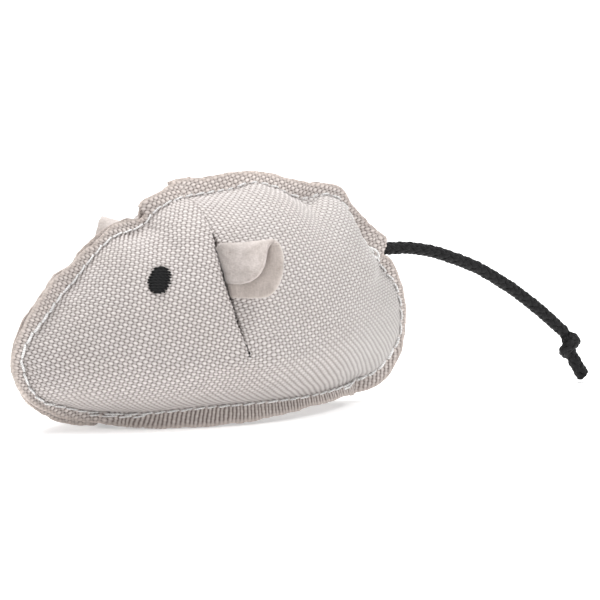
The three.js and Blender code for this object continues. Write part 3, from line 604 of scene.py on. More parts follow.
class Rim:
    """The stitch line at distances s from the top of the dart, towards the rear first."""

    def __init__(self, s):
        s = np.asarray(s, float)
        w = s % RIM_L
        w = np.where((s > 0) & (np.abs(w) < 1e-9), RIM_L, w)
        self.s = s
        self.x, self.z, self.width = (np.interp(w, RIM_D, _fine[:, i]) for i in range(3))
        self.ox, self.oz = (np.interp(w, RIM_D, _out[:, i]) for i in range(2))
        n = np.hypot(self.ox, self.oz)
        self.ox, self.oz = self.ox / n, self.oz / n
        low = (self.z < 12) * 1.0
        self.half = np.minimum(f_belly(self.x), 0.9 * f_width(self.x)) * low
        self.k = np.minimum(1, self.half / 4)
        near = np.hypot(self.x - PART_AT[0], self.z - PART_AT[1])
        self.part = (CORD_R + GAP - SEAT) * smoothstep(5.0 - near, 0, 3.0)


def rim_at(x, z):
    """Distance along the stitch line of its point nearest to x, z."""
    return RIM_D[int(np.argmin(np.hypot(_fine[:, 0] - x, _fine[:, 1] - z)))]


# the allowance waves from side to side, more at its free edge; both layers go together
_wave_a, _wave_b, _wave_c = value_noise(3), value_noise(5), value_noise(11)


def flange_wave(s, how, k):
    free = np.clip(how / 3.6, 0, 1.6) ** 1.4
    return (0.75 * _wave_a(s / 9.0) + 0.45 * _wave_b(s / 4.2)) * free * (1 - k)


def allowance(r, side, how, lie):
    """Points of the allowance, how far beyond the stitch line and lie out from the seam's own plane."""
    down = 1 - r.k
    lean = 0.30 * how * np.clip(r.oz, 0, 1) ** 2 * down * (1 - smoothstep(r.x, 27, 34))
    y = side * (r.half + lie + r.part + BELLY_LEAN * how * r.k) + flange_wave(r.s, how, r.k) + lean
    return np.stack([r.x + r.ox * how * down, y, np.maximum(0.14, r.z + r.oz * how * down - how * r.k)], axis=-1)


# ---- coarse panel: columns go round the stitch line from the dart to the dart, rings from the dart's end to the stitch line
_near = np.array([0, 0.35, 0.8, 1.4, 2.1, 3.0, 4.1])
_mid = np.linspace(5.4, RIM_L - 5.4, int((RIM_L - 10.8) / 1.35))
COLS = np.concatenate([_near, _mid, RIM_L - _near[::-1]])
RINGS = np.sin(np.radians(np.concatenate([[0, 1.2, 2.6], np.arange(4.5, 88, 3.9), [90]])))
HOWS = np.array([0.4, 0.9, 1.5, 2.2, 3.0, 3.9, 4.9, 6.0])
dart_x = smooth_table(sorted([(z, x) for x, z in DART]))


def panel_face(side):
    """The outer face of a side panel on the part's own surface: columns x rings x 3, and its distance to the dart."""
    r = Rim(COLS)
    x = HUB[0] + np.outer(r.x - HUB[0], RINGS)
    z = HUB[1] + np.outer(r.z - HUB[1], RINGS)
    away = np.minimum(COLS, RIM_L - COLS)
    top = Rim(np.array([0.0]))
    zs = HUB[1] + (top.z[0] - HUB[1]) * RINGS
    dx = dart_x(zs) - (HUB[0] + (top.x[0] - HUB[0]) * RINGS)
    x = x + np.exp(-((away / 26.0) ** 2))[:, None] * dx[None, :]
    y = half_width(x, z) + SEAT + CLOTH + np.outer(r.part, RINGS**3)
    return np.stack([x, side * y, z], axis=-1), away[:, None] * RINGS[None, :]


def grid_normals(P, flip=1.0):
    a, b = np.gradient(P, axis=0), np.gradient(P, axis=1)
    return unit(np.cross(a, b)) * flip


FACE, DART_AWAY = panel_face(-1)
_n = grid_normals(FACE)
if _n[len(COLS) // 2, 12, 1] > 0:
    _n = -_n
FACE_N = _n
# gathers along the seam: the cloth dips where the stitches pull it in
_depth = np.zeros(FACE.shape[:2])
_span = np.linalg.norm(FACE - FACE[:, -1:, :], axis=-1)  # distance from the stitch line
_pull = np.zeros(len(COLS))


def pucker(s0, depth, half, reach):
    """A dip of the face at distance s0 along the stitch line."""
    global _depth
    d = (COLS - s0 + RIM_L / 2) % RIM_L - RIM_L / 2
    _depth += depth * np.exp(-((d / half) ** 2))[:, None] * np.exp(-_span / reach) * (_span / (_span + 0.7))


_prng = np.random.default_rng(21)
_s = 5.0
while _s < RIM_L - 5:
    pucker(_s, _prng.uniform(0.10, 0.42), _prng.uniform(1.1, 2.0), _prng.uniform(2.5, 5.5))
    _s += _prng.uniform(4.2, 8.0)
pucker(rim_at(25.7, 46.7), 1.5, 2.6, 6.0)  # the dip behind the top
pucker(rim_at(21.5, 48.0), 0.5, 1.4, 6.0)
for _x, _z, _d in ((-17.2, 43.5, 1.9), (-18.7, 42.9, 1.7), (-20.4, 42.5, 1.3)):  # the gathers above the eye
    pucker(rim_at(_x, _z), _d, 0.85, 2.4)
pucker(rim_at(37.5, 42.3), 0.5, 2.2, 5.0)
pucker(rim_at(46.0, 30.2), 0.6, 2.2, 5.0)
FACE = FACE - FACE_N * _depth[..., None]
# the dart: the cloth rolls in towards its line, except near its lower end
_fade = smoothstep(RINGS, 0.03, 0.30) * (1 - 0.72 * smoothstep(RINGS, 0.70, 0.88)) * (1 - smoothstep(RINGS, 0.93, 1.0))
_roll = 1.25 * np.exp(-(DART_AWAY / 0.95)) * _fade[None, :]
FACE = FACE - FACE_N * _roll[..., None]
SLIT = 0.33 * smoothstep(RINGS, 0.05, 0.22) * (1 - smoothstep(RINGS, 0.74, 0.86))
SLIT = SLIT * (1 + 0.42 * np.random.default_rng(77).uniform(-1, 1, len(RINGS)))
_beside = smoothstep(RINGS, 0.34, 0.42) * (1 - smoothstep(RINGS, 0.70, 0.78))  # where the ear is sewn in
_front = (np.arange(len(COLS)) >= len(COLS) / 2)[:, None]
_part = np.exp(-(DART_AWAY / 1.1)) * (SLIT[None, :] + 0.17 * _beside[None, :] * _front)
_turn = np.where(np.arange(len(COLS)) < len(COLS) / 2, 1.0, -1.0)[:, None]
FACE[..., 0] += _part * _turn


def simulate(P, pinned, pressure, cap, frames=18):
    """Blows the coarse panel up like a filled pad, with its stitch line and dart held."""
    whole, P, pinned = P, P[:, 1:], pinned[:, 1:].copy()  # the innermost ring is a single point
    pinned[:, 0] = 1
    C, R = P.shape[:2]
    scale = 0.01  # the cloth is simulated ten times as large as it is
    me = bpy.data.meshes.new("panel_sim")
    ids = np.arange(C * R).reshape(C, R)
    q = np.stack([ids[:-1, :-1], ids[1:, :-1], ids[1:, 1:], ids[:-1, 1:]], axis=-1).reshape(-1, 4)
    me.from_pydata([tuple(p) for p in P.reshape(-1, 3) * scale], [], [tuple(int(i) for i in f) for f in q])
    me.update()
    me.validate()
    ob = bpy.data.objects.new("panel_sim", me)
    bpy.context.scene.collection.objects.link(ob)
    up = sum((f.normal.y * f.area for f in me.polygons))
    if up > 0:
        me.flip_normals()
    g = ob.vertex_groups.new(name="pin")
    w = pinned.ravel()
    for i in np.nonzero(w > 0)[0]:
        g.add([int(i)], float(w[i]), "REPLACE")
    mod = ob.modifiers.new("cloth", "CLOTH")
    s = mod.settings
    s.quality = 6
    s.mass = 0.3
    s.tension_stiffness = s.compression_stiffness = 15
    s.shear_stiffness = 6
    s.bending_stiffness = 0.6
    s.tension_damping = s.compression_damping = s.shear_damping = 12
    s.air_damping = 3
    s.vertex_group_mass = "pin"
    s.use_pressure = True
    s.uniform_pressure_force = pressure
    s.effector_weights.gravity = 0
    mod.collision_settings.use_collision = False
    mod.collision_settings.use_self_collision = False
    mod.point_cache.frame_start, mod.point_cache.frame_end = 1, frames
    sc = bpy.context.scene
    for fr in range(1, frames + 1):
        sc.frame_set(fr)
    dg = bpy.context.evaluated_depsgraph_get()
    ev = ob.evaluated_get(dg)
    out = np.zeros(C * R * 3, np.float32)
    ev.data.vertices.foreach_get("co", out)
    out = out.astype(float).reshape(C, R, 3) / scale
    bpy.data.objects.remove(ob)
    bpy.data.meshes.remove(me)
    sc.frame_set(1)
    move = out - P
    far = np.linalg.norm(move, axis=-1, keepdims=True)
    move *= np.minimum(1, cap / np.maximum(far, 1e-9))
    if not np.isfinite(move).all():
        raise RuntimeError("the panel's simulation did not settle")
    print("panel simulation: largest move %.2f mm, mean %.2f mm" % (far.max(), far.mean()))
    moved = whole.copy()
    moved[:, 1:] += move
    return moved


PINNED = np.zeros(FACE.shape[:2])
PINNED[:, -1] = 1
PINNED[0, :] = PINNED[-1, :] = 1
PINNED[:, 0] = 1
FACE = simulate(FACE, PINNED, 14.0, 1.3)

# ------------------------------------------------------------------ flat pattern of the panel, with the dart open
TUCK = np.array([0.7, 1.5, 2.4])  # the cloth goes on inside past the dart's line


def with_tucks(F):
    """The face with the cloth beyond the dart's line, turned in: three more columns at each end."""
    n = FACE_N
    deep = (smoothstep(RINGS, 0.06, 0.30))[:, None]
    first, last = [], []
    for t in TUCK:
        first.append(F[0] - n[0] * t * deep + np.array([0.02 + 0.04 * t, 0, 0]) * deep)
        last.append(F[-1] - n[-1] * t * deep - np.array([0.02 + 0.04 * t, 0, 0]) * deep)
    return np.concatenate([np.array(first)[::-1], F, np.array(last)], axis=0)


S_ALL = np.concatenate([-TUCK[::-1], COLS, RIM_L + TUCK])


def whole_panel(side, lie=SEAT + CLOTH):
    """Columns x (rings and allowance) x 3 for one side."""
    F = FACE if side < 0 else FACE * np.array([1, -1, 1])
    global FACE_N
    keep = FACE_N
    if side > 0:
        FACE_N = keep * np.array([1, -1, 1])
    body = with_tucks(F)
    FACE_N = keep
    r = Rim(S_ALL % RIM_L)
    r.s = S_ALL % RIM_L
    fl = np.stack([allowance(r, side, np.full(len(S_ALL), h), lie) for h in HOWS], axis=1)
    under = smoothstep(np.maximum(-S_ALL, S_ALL - RIM_L), 0.0, 0.7)  # past the dart the allowance lies under its other end
    fl[:, :, 1] -= side * under[:, None] * 0.22
    return body, fl


def cot_laplacian(P, T, weight):
    n = len(P)
    L = np.zeros((n, n))
    W = []
    for i in range(3):
        a, b, c = T[:, i], T[:, (i + 1) % 3], T[:, (i + 2) % 3]
        e1, e2 = P[b] - P[a], P[c] - P[a]
        cot = (e1 * e2).sum(1) / np.maximum(np.linalg.norm(np.cross(e1, e2), axis=1), 1e-9)
        cot = np.clip(cot, 0.02, 8) * 0.5 * weight
        np.add.at(L, (b, c), -cot)
        np.add.at(L, (c, b), -cot)
        np.add.at(L, (b, b), cot)
        np.add.at(L, (c, c), cot)
        W.append((b, c, cot))
    return L, W


def flatten(body, fl):
    """Flat positions of a panel's points, as near as can be to the cloth's own lengths."""
    P = np.concatenate([body, fl], axis=1)
    C, R = P.shape[:2]
    ci = np.unique(np.concatenate([[0, 1, 2, 3, 4, 6, 8], np.arange(9, C - 9, 3), C - 1 - np.array([8, 6, 4, 3, 2, 1, 0])]))
    nb = body.shape[1]
    ri = np.unique(np.concatenate([[1, 3, 6, 9, 12, 15, 18, 21, 23], [nb - 1, nb + 2, nb + 4, nb + 6, R - 1]]))
    ri = ri[ri < R]
    Q = P[np.ix_(ci, ri)]
    cn, rn = Q.shape[:2]
    ids = np.arange(cn * rn).reshape(cn, rn)
    hub = cn * rn
    V = np.concatenate([Q.reshape(-1, 3), FACE[len(COLS) // 2, :1] * (1, 1, 1)])
    a, b, c, d = ids[:-1, :-1].ravel(), ids[1:, :-1].ravel(), ids[1:, 1:].ravel(), ids[:-1, 1:].ravel()
    T = np.concatenate([np.stack([a, b, c], 1), np.stack([a, c, d], 1)])
    inner = (ci[:-1] >= 3) & (ci[1:] <= C - 4)
    T = np.concatenate([T, np.stack([np.full(inner.sum(), hub), ids[1:, 0][inner], ids[:-1, 0][inner]], 1)])
    # first guess: each spoke laid out straight at its own length
    ang = np.unwrap(np.arctan2(P[3:-3, nb - 1, 2] - HUB[1], P[3:-3, nb - 1, 0] - HUB[0]))
    ang = np.concatenate([ang[0] + np.array([0.16, 0.11, 0.05]), ang, ang[-1] - np.array([0.05, 0.11, 0.16])])
    ang = ang.mean() + (ang - ang.mean()) * 0.96
    length = np.concatenate([np.zeros((C, 1)), np.cumsum(np.linalg.norm(np.diff(P, axis=1), axis=-1), axis=1)], axis=1)
    U = np.stack([length * np.cos(ang)[:, None], length * np.sin(ang)[:, None]], axis=-1)[np.ix_(ci, ri)].reshape(-1, 2)
    U = np.concatenate([U, [[0, 0]]])
    # the cloth keeps its length in the middle of the panel and is gathered towards the seam
    ring = np.concatenate([RINGS, 1 + 0.1 * np.arange(1, fl.shape[1] + 1)])[ri]
    level = np.append(np.broadcast_to(ring, (cn, rn)).ravel(), 0.0)[T].mean(1)
    L, W = cot_laplacian(V, T, 0.05 + 0.95 * (1 - smoothstep(level, 0.70, 1.0)))
    # each triangle's own flat shape
    e1, e2 = V[T[:, 1]] - V[T[:, 0]], V[T[:, 2]] - V[T[:, 0]]
    l1 = np.linalg.norm(e1, axis=1)
    x2 = (e1 * e2).sum(1) / np.maximum(l1, 1e-9)
    y2 = np.linalg.norm(np.cross(e1, e2), axis=1) / np.maximum(l1, 1e-9)
    flat = np.zeros((len(T), 3, 2))
    flat[:, 1, 0], flat[:, 2, 0], flat[:, 2, 1] = l1, x2, y2
    s0 = U[T]
    sign = np.sign(np.median((s0[:, 1, 0] - s0[:, 0, 0]) * (s0[:, 2, 1] - s0[:, 0, 1]) - (s0[:, 1, 1] - s0[:, 0, 1]) * (s0[:, 2, 0] - s0[:, 0, 0])))
    flat[:, 2, 1] *= sign
    cots = np.stack([w[2] for w in W], axis=1)  # of the edge opposite to corner 0, 1, 2
    Li = np.linalg.inv(L + 1e-9 * np.eye(len(L)) + np.outer(np.eye(len(L))[hub], np.eye(len(L))[hub]))
    for _ in range(150):
        S = np.zeros((len(T), 2, 2))
        for i in range(3):
            j, k = (i + 1) % 3, (i + 2) % 3
            S += cots[:, i, None, None] * np.einsum("ta,tb->tab", U[T[:, j]] - U[T[:, k]], flat[:, j] - flat[:, k])
        th = np.arctan2(S[:, 1, 0] - S[:, 0, 1], S[:, 0, 0] + S[:, 1, 1])
        Rm = np.stack([np.stack([np.cos(th), -np.sin(th)], -1), np.stack([np.sin(th), np.cos(th)], -1)], 1)
        B = np.zeros((len(V), 2))
        for i in range(3):
            j, k = (i + 1) % 3, (i + 2) % 3
            g = cots[:, i, None] * np.einsum("tab,tb->ta", Rm, flat[:, j] - flat[:, k])
            np.add.at(B, T[:, j], g)
            np.add.at(B, T[:, k], -g)
        U = Li @ B
        U -= U[hub]
    # the dart takes out a little more than the shape alone asks for, which turns the grain on both sides of it
    mid = U[ids[0, -3]] + U[ids[-1, -3]]
    away = math.atan2(mid[1], mid[0])  # towards the dart
    ph = np.arctan2(U[:, 1], U[:, 0]) - away - math.pi
    ph = (ph + math.pi) % (2 * math.pi) - math.pi
    ra = np.hypot(U[:, 0], U[:, 1])
    ph = ph * (1 - math.radians(5.0) / (2 * math.pi)) + away + math.pi
    U = np.stack([ra * np.cos(ph), ra * np.sin(ph)], axis=1)
    U2 = U[:-1].reshape(cn, rn, 2)
    # back to all columns and rings
    full = np.zeros((cn, R, 2))
    for c in range(cn):
        for k in range(2):
            full[c, :, k] = smooth_table(np.stack([np.concatenate([[0], ri]).astype(float), np.concatenate([[U[hub, k]], U2[c, :, k]])], 1))(np.arange(R))
    out = np.zeros((C, R, 2))
    for r in range(R):
        for k in range(2):
            out[:, r, k] = smooth_table(np.stack([ci.astype(float), full[:, r, k]], 1))(np.arange(C))
    return out


BODY_L, FL_L = whole_panel(-1)
FLAT = flatten(BODY_L, FL_L)
NB = BODY_L.shape[1]

# the grain is level on the head in the photo's view
RIGHT, UP = np.array([0.839, -0.545, 0.0]), np.array([0.0758, 0.1168, 0.990])
_P = np.concatenate([BODY_L, FL_L], axis=1)
_head = np.argmin(np.hypot(_P[:, : NB - 2, 0] + 27.0, _P[:, : NB - 2, 2] - 24.0).ravel())
_c, _r = np.unravel_index(_head, _P[:, : NB - 2].shape[:2])
_j3 = np.stack([_P[_c + 1, _r] - _P[_c - 1, _r], _P[_c, _r + 1] - _P[_c, _r - 1]], axis=1)
_j2 = np.stack([FLAT[_c + 1, _r] - FLAT[_c - 1, _r], FLAT[_c, _r + 1] - FLAT[_c, _r - 1]], axis=1)
_jac = _j3 @ np.linalg.inv(_j2)  # 3D change per flat change
_gx, _gy = RIGHT @ _jac, UP @ _jac
_dir = np.array([-_gy[1], _gy[0]])  # the flat direction that stays level in the view
if _gx @ _dir < 0:
    _dir = -_dir
_th = -math.atan2(_dir[1], _dir[0]) + math.radians(11.0)
_rot = np.array([[math.cos(_th), -math.sin(_th)], [math.sin(_th), math.cos(_th)]])
FLAT = FLAT @ _rot.T

# ------------------------------------------------------------------ fine cloth: a grid along the yarns, laid on the panel
DU, DV = YARN_U / 3, YARN_V / 3


class Locator:
    """Finds where points of the flat pattern lie on the coarse panel."""

    def __init__(self, flat, sub):
        nb = NB
        parts = [finer(finer(flat[:, :nb], sub, 0), sub, 1), finer(finer(flat[:, nb - 1 :], sub, 0), sub, 1)[:, 1:]]
        self.sub = sub
        g = np.concatenate(parts, axis=1)
        C, R = g.shape[:2]
        self.shape = (C, R)
        ids = np.arange(C * R).reshape(C, R)
        a, b, c, d = ids[:-1, :-1].ravel(), ids[1:, :-1].ravel(), ids[1:, 1:].ravel(), ids[:-1, 1:].ravel()
        self.T = np.concatenate([np.stack([a, b, c], 1), np.stack([a, c, d], 1)])
        self.uv = g.reshape(-1, 2)
        self.tree = BVHTree.FromPolygons([(p[0], p[1], 0.0) for p in self.uv], [tuple(int(i) for i in t) for t in self.T])

    def lift(self, grid3):
        """A field on the coarse columns and rings, on the finer ones."""
        nb = NB
        parts = [finer(finer(grid3[:, :nb], self.sub, 0), self.sub, 1), finer(finer(grid3[:, nb - 1 :], self.sub, 0), self.sub, 1)[:, 1:]]
        return np.concatenate(parts, axis=1).reshape(self.shape[0] * self.shape[1], -1)

    def find(self, pts):
        """Triangle index (or -1) and corner weights for each flat point."""
        tri = np.full(len(pts), -1)
        down = Vector((0, 0, -1))
        cast = self.tree.ray_cast
        for i, (x, y) in enumerate(pts):
            hit = cast(Vector((x, y, 1.0)), down, 2.0)
            if hit[2] is not None:
                tri[i] = hit[2]
        ok = tri >= 0
        w = np.zeros((len(pts), 3))
        t = self.T[tri[ok]]
        a, b, c = self.uv[t[:, 0]], self.uv[t[:, 1]], self.uv[t[:, 2]]
        p = pts[ok]
        d = (b[:, 0] - a[:, 0]) * (c[:, 1] - a[:, 1]) - (b[:, 1] - a[:, 1]) * (c[:, 0] - a[:, 0])
        d = np.where(np.abs(d) < 1e-12, 1e-12, d)
        w1 = ((p[:, 0] - a[:, 0]) * (c[:, 1] - a[:, 1]) - (p[:, 1] - a[:, 1]) * (c[:, 0] - a[:, 0])) / d
        w2 = ((b[:, 0] - a[:, 0]) * (p[:, 1] - a[:, 1]) - (b[:, 1] - a[:, 1]) * (p[:, 0] - a[:, 0])) / d
        w[ok] = np.stack([1 - w1 - w2, w1, w2], axis=1)
        return tri, w

    def take(self, field, tri, w):
        t = self.T[np.maximum(tri, 0)]
        return (field[t] * w[..., None]).sum(1)


LOC = Locator(FLAT, 3)
_lo, _hi = FLAT.reshape(-1, 2).min(0), FLAT.reshape(-1, 2).max(0)
GU = np.arange(math.floor(_lo[0] / DU) - 1, math.ceil(_hi[0] / DU) + 2)
GV = np.arange(math.floor(_lo[1] / DV) - 1, math.ceil(_hi[1] / DV) + 2)
_uu, _vv = np.meshgrid(GU * DU, GV * DV, indexing="ij")
FLAT_PTS = np.stack([_uu.ravel(), _vv.ravel()], axis=1)
TRI, WGT = LOC.find(FLAT_PTS)
# fields on the coarse panel: distance past the stitch line, and distance along it
_span_b = np.linalg.norm(np.concatenate([BODY_L], axis=1) - BODY_L[:, -1:, :], axis=-1)
HOW_F = np.concatenate([-_span_b, np.broadcast_to(HOWS, (len(S_ALL), len(HOWS)))], axis=1)
S_F = np.broadcast_to(S_ALL[:, None], HOW_F.shape)
HOW = LOC.take(LOC.lift(HOW_F[..., None]), TRI, WGT)[:, 0]
SAT = LOC.take(LOC.lift(S_F[..., None]), TRI, WGT)[:, 0]

_edge_n = value_noise(31, 1024)
_edge_m = value_noise(37, 1024)


STEP_AT = rim_at(-15.0, 45.1)
GATHER_AT = rim_at(-22.0, 42.2)
_far = sorted((rim_at(x, z), d) for x, z, d in FAR_MORE)
_far = np.array([(_far[-1][0] - RIM_L, _far[-1][1])] + _far + [(_far[0][0] + RIM_L, _far[0][1])])


def edge_width(s, side):
    """Width of the allowance, with its uneven cut. The near layer has a step above the eye."""
    r = Rim(np.clip(s, 0, RIM_L))
    w = r.width + 0.13 * _edge_n(s / 1.1 + (40 if side > 0 else 0)) + 0.12 * _edge_m(s / 5.0 + (90 if side > 0 else 0))
    if side < 0:
        d = s - STEP_AT
        low = smoothstep(d, -5.2, -2.6) * (1 - smoothstep(d, -0.3, 0.3))
        w = w * (1 - low) + 1.8 * low
    else:
        w = w + np.interp(s, _far[:, 0], _far[:, 1])
    return w


WARP_A, WARP_B, WARP_C, WARP_D = (noise2(i) for i in (51, 52, 53, 54))
_dense_s = np.linspace(0, RIM_L, 3000)
_dense_k = Rim(_dense_s).k


def fine_panel(side, name):
    body, fl = whole_panel(side)
    G = np.concatenate([body, fl], axis=1)
    field = LOC.lift(G)
    inside = TRI >= 0
    over = HOW - edge_width(SAT, side)
    FIELDS[side] = field
    # points just past the cut are drawn back onto it, so that the edge is clean
    shape = (len(GU), len(GV))
    pts = FLAT_PTS.copy()
    near = inside & (over > 0) & (over < 0.34)
    H2 = np.where(inside, over, np.nan).reshape(shape)
    gu, gv = np.gradient(H2, DU, DV)
    g = np.stack([gu.ravel(), gv.ravel()], axis=1)
    g = np.where(np.isfinite(g), g, 0)
    gl = (g * g).sum(1, keepdims=True)
    near &= gl[:, 0] > 0.2
    pts[near] -= (g * over[:, None] / np.maximum(gl, 1e-6))[near]
    tri, w = TRI.copy(), WGT.copy()
    t2, w2 = LOC.find(pts[near])
    tri[near], w[near] = t2, w2
    keep = inside & (tri >= 0) & ((over <= 0) | near)
    P = LOC.take(field, tri, w)
    K = keep.reshape(shape)
    P3 = P.reshape(shape + (3,))
    # normals of the coarse surface, which stay smooth up to the cut
    coarse = grid_normals(G)
    coarse[:, 0] = coarse[:, 1]
    if (coarse[10:-10, 6:18, 1] * side).mean() < 0:
        coarse = -coarse
    N = np.where((tri >= 0)[:, None], LOC.take(LOC.lift(coarse), np.maximum(tri, 0), w), np.array([0.0, side, 0.0]))
    N = unit(N).reshape(shape + (3,))
    uu, vv = pts[:, 0] / YARN_U, pts[:, 1] / YARN_V
    # rows are not quite even, and yarns not quite straight
    uu = uu + 0.16 * WARP_A(uu / 2.6, vv / 3.1) + 0.5 * WARP_C(uu / 31, vv / 23)
    vv = vv + 0.09 * WARP_B(uu / 3.7, vv / 2.3) + 0.4 * WARP_D(uu / 37, vv / 29)
    # where the cloth is pulled the floats join up into ribs: slanting at the lower rear, upright on the allowance
    # below, where the material also paints them darker as painted shade
    at = np.where(inside[:, None], P, 0.0)
    px = (0.839 * at[:, 0] + 0.545 * np.abs(at[:, 1])) / 0.22
    py = -(0.99 * at[:, 2] + 0.0758 * at[:, 0] - 0.1166 * np.abs(at[:, 1])) / 0.22
    past = (py + 30.7 + 0.59 * (px - 19)) / 1.16
    low = 1 - smoothstep(at[:, 2] - f_lower(at[:, 0]), 1.5, 5.5)
    slant = 0.80 * np.maximum(smoothstep(past, -4, 42), low * (0.8 * smoothstep(at[:, 0], -45, -36) + 0.2 * smoothstep(at[:, 0], -28, -14))) * (HOW < 0.4) * inside
    under = np.interp(SAT, _dense_s, _dense_k) * smoothstep(HOW, 0.3, 1.1) * inside
    corner = smoothstep(at[:, 0], 30, 37) * (1 - smoothstep(at[:, 2], 11, 18)) * smoothstep(HOW, 0.5, 1.3) * inside
    upright = np.maximum(0.72 * under, 0.5 * corner)
    # below the stitches over the head the cloth is drawn together, most of all above the eye; its upright ribs there
    # are also painted dark, as painted shade in the gathers
    drawn = 0.85 * np.exp(-(((SAT - GATHER_AT) / 3.0) ** 2)) * smoothstep(HOW, -3.7, -1.3)
    drawn = np.maximum(drawn, 0.26 * smoothstep(HOW, -1.7, -0.3) * (1 - smoothstep(at[:, 0], -14, -6)) * smoothstep(at[:, 2], 16, 24))
    upright = np.maximum(upright, drawn * (HOW < 0.3) * inside)
    h = weave_height(uu, vv)
    h = h + slant * (rib(np.cos(np.pi * (uu + vv))) - h)
    h = (h + upright * (rib(np.cos(2 * np.pi * uu)) - h)).reshape(shape)
    cut = smoothstep(over, -1.15, -0.1)  # the weave is flattened and frayed near the cut
    # along the back and rear the weave is painted paler, lower in contrast and greyer: painted sheen where light falls
    # more directly; near the cut it is real fraying
    rear = (0.13 * smoothstep(P[:, 0], -6, 6) + 0.34 * smoothstep(P[:, 0], 14, 42)) * (HOW < 0.4)
    wear = np.where(inside, np.maximum(cut, np.maximum(rear, 0.04 * (HOW > 0.4))), 0)
    lift = (0.34 * (h - 0.62)) * (1 - 0.45 * wear.reshape(shape))
    # the allowance below is also slightly gathered
    lift = lift + (0.10 * under * np.sin(2 * np.pi * (SAT + 0.25 * WARP_A(SAT / 3.0, HOW)) / 2.3)).reshape(shape)
    P3 = P3 + N * lift[..., None]
    # faces
    cell = K[:-1, :-1] & K[1:, :-1] & K[1:, 1:] & K[:-1, 1:]
    # drop loose single cells
    padded = np.pad(cell, 1)
    count = padded[:-2, 1:-1].astype(int) + padded[2:, 1:-1] + padded[1:-1, :-2] + padded[1:-1, 2:]
    cell &= count >= 1
    used = np.zeros(shape, bool)
    for a in (slice(None, -1), slice(1, None)):
        for b in (slice(None, -1), slice(1, None)):
            used[a, b] |= cell
    ids = np.full(shape, -1)
    ids[used] = np.arange(used.sum())
    q = np.stack([ids[:-1, :-1], ids[1:, :-1], ids[1:, 1:], ids[:-1, 1:]], axis=-1)[cell]
    turn = np.cross(P3[1:, :-1] - P3[:-1, :-1], P3[:-1, 1:] - P3[:-1, :-1])[cell]
    if (turn * N[:-1, :-1][cell]).sum() < 0:
        q = q[:, ::-1]
    verts = P3[used]
    uv = np.stack([uu.reshape(shape)[used], vv.reshape(shape)[used]], axis=1)
    # the allowance shows its thickness: a second layer behind it, and walls round the cut
    Hq = HOW.reshape(shape)
    back_cell = cell & (np.minimum.reduce([Hq[:-1, :-1], Hq[1:, :-1], Hq[1:, 1:], Hq[:-1, 1:]]) > 0.15)
    bused = np.zeros(shape, bool)
    for a in (slice(None, -1), slice(1, None)):
        for b in (slice(None, -1), slice(1, None)):
            bused[a, b] |= back_cell
    bids = np.full(shape, -1)
    bids[bused] = len(verts) + np.arange(bused.sum())
    Nb = N[bused]
    back = P.reshape(shape + (3,))[bused] - Nb * 0.62 - Nb * (0.10 * h[bused])[:, None]
    qb = np.stack([bids[:-1, :-1], bids[1:, :-1], bids[1:, 1:], bids[:-1, 1:]], axis=-1)[back_cell]
    fr = np.stack([ids[:-1, :-1], ids[1:, :-1], ids[1:, 1:], ids[:-1, 1:]], axis=-1)[back_cell]
    flip = (turn * N[:-1, :-1][cell]).sum() < 0
    qb = qb if flip else qb[:, ::-1]
    # walls: edges of one front cell only, beyond the stitch line
    e = np.concatenate([fr[:, [0, 1]], fr[:, [1, 2]], fr[:, [2, 3]], fr[:, [3, 0]]])
    eb = np.concatenate([np.stack([bids[:-1, :-1], bids[1:, :-1], bids[1:, 1:], bids[:-1, 1:]], axis=-1)[back_cell][:, [i, (i + 1) % 4]] for i in range(4)])
    allf = np.concatenate([q[:, [0, 1]], q[:, [1, 2]], q[:, [2, 3]], q[:, [3, 0]]])
    key = np.sort(allf, axis=1)
    code = key[:, 0].astype(np.int64) * (len(verts) + 1) + key[:, 1]
    cu, cn = np.unique(code, return_counts=True)
    single = set(cu[cn == 1].tolist())
    ek = np.sort(e, axis=1)
    ec = ek[:, 0].astype(np.int64) * (len(verts) + 1) + ek[:, 1]
    rim_edge = np.array([c in single for c in ec.tolist()])
    wall = np.stack([e[rim_edge, 1], e[rim_edge, 0], eb[rim_edge, 0], eb[rim_edge, 1]], axis=1)
    if flip:
        wall = wall[:, ::-1]
    allv = np.concatenate([verts, back])
    alluv = np.concatenate([uv, np.stack([uu.reshape(shape)[bused], vv.reshape(shape)[bused] + 0.5], axis=1)])
    faces = np.concatenate([q, qb, wall])
    ob = make_mesh(name, allv, faces, CANVAS, uv=alluv)
    ob.data.materials.append(EDGE_M)
    wv = np.stack([wear, np.where(inside, cut, 0)], axis=1).reshape(shape + (2,))
    add_uv(ob, "wear", np.concatenate([wv[used], wv[bused]]))
    rv = np.stack([slant, upright], axis=1).reshape(shape + (2,))
    add_uv(ob, "ribs", np.concatenate([rv[used], rv[bused]]))
    hq = np.mean([Hq[:-1, :-1], Hq[1:, :-1], Hq[1:, 1:], Hq[:-1, 1:]], axis=0)[cell]
    which = np.concatenate([hq > 0.55, np.ones(len(qb) + len(wall), bool)]).astype(np.int32)
    ob.data.polygons.foreach_set("material_index", which)
    print(name, len(allv), "points", len(faces), "faces")
    return ob, P3, K, N


FIELDS = {}
LEFT, LEFT_P, LEFT_K, LEFT_N = fine_panel(-1, "left_panel")
RIGHT_PANEL, RIGHT_P, RIGHT_K, RIGHT_N = fine_panel(1, "right_panel")
for ob, node in ((LEFT, "left_side_panel"), (RIGHT_PANEL, "right_side_panel")):
    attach(ob, "mouse_body")
    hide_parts(node)

# ------------------------------------------------------------------ the photo's view, to place what is seen in it
AIM_MM, PX = np.array([19.1, -8.15, 25.4]), 0.22
FWD = unit([0.540, 0.831, -0.139])
NEAR_TREE = BVHTree.FromPolygons([tuple(p) for p in FIELDS[-1]], [tuple(int(i) for i in t) for t in LOC.T])


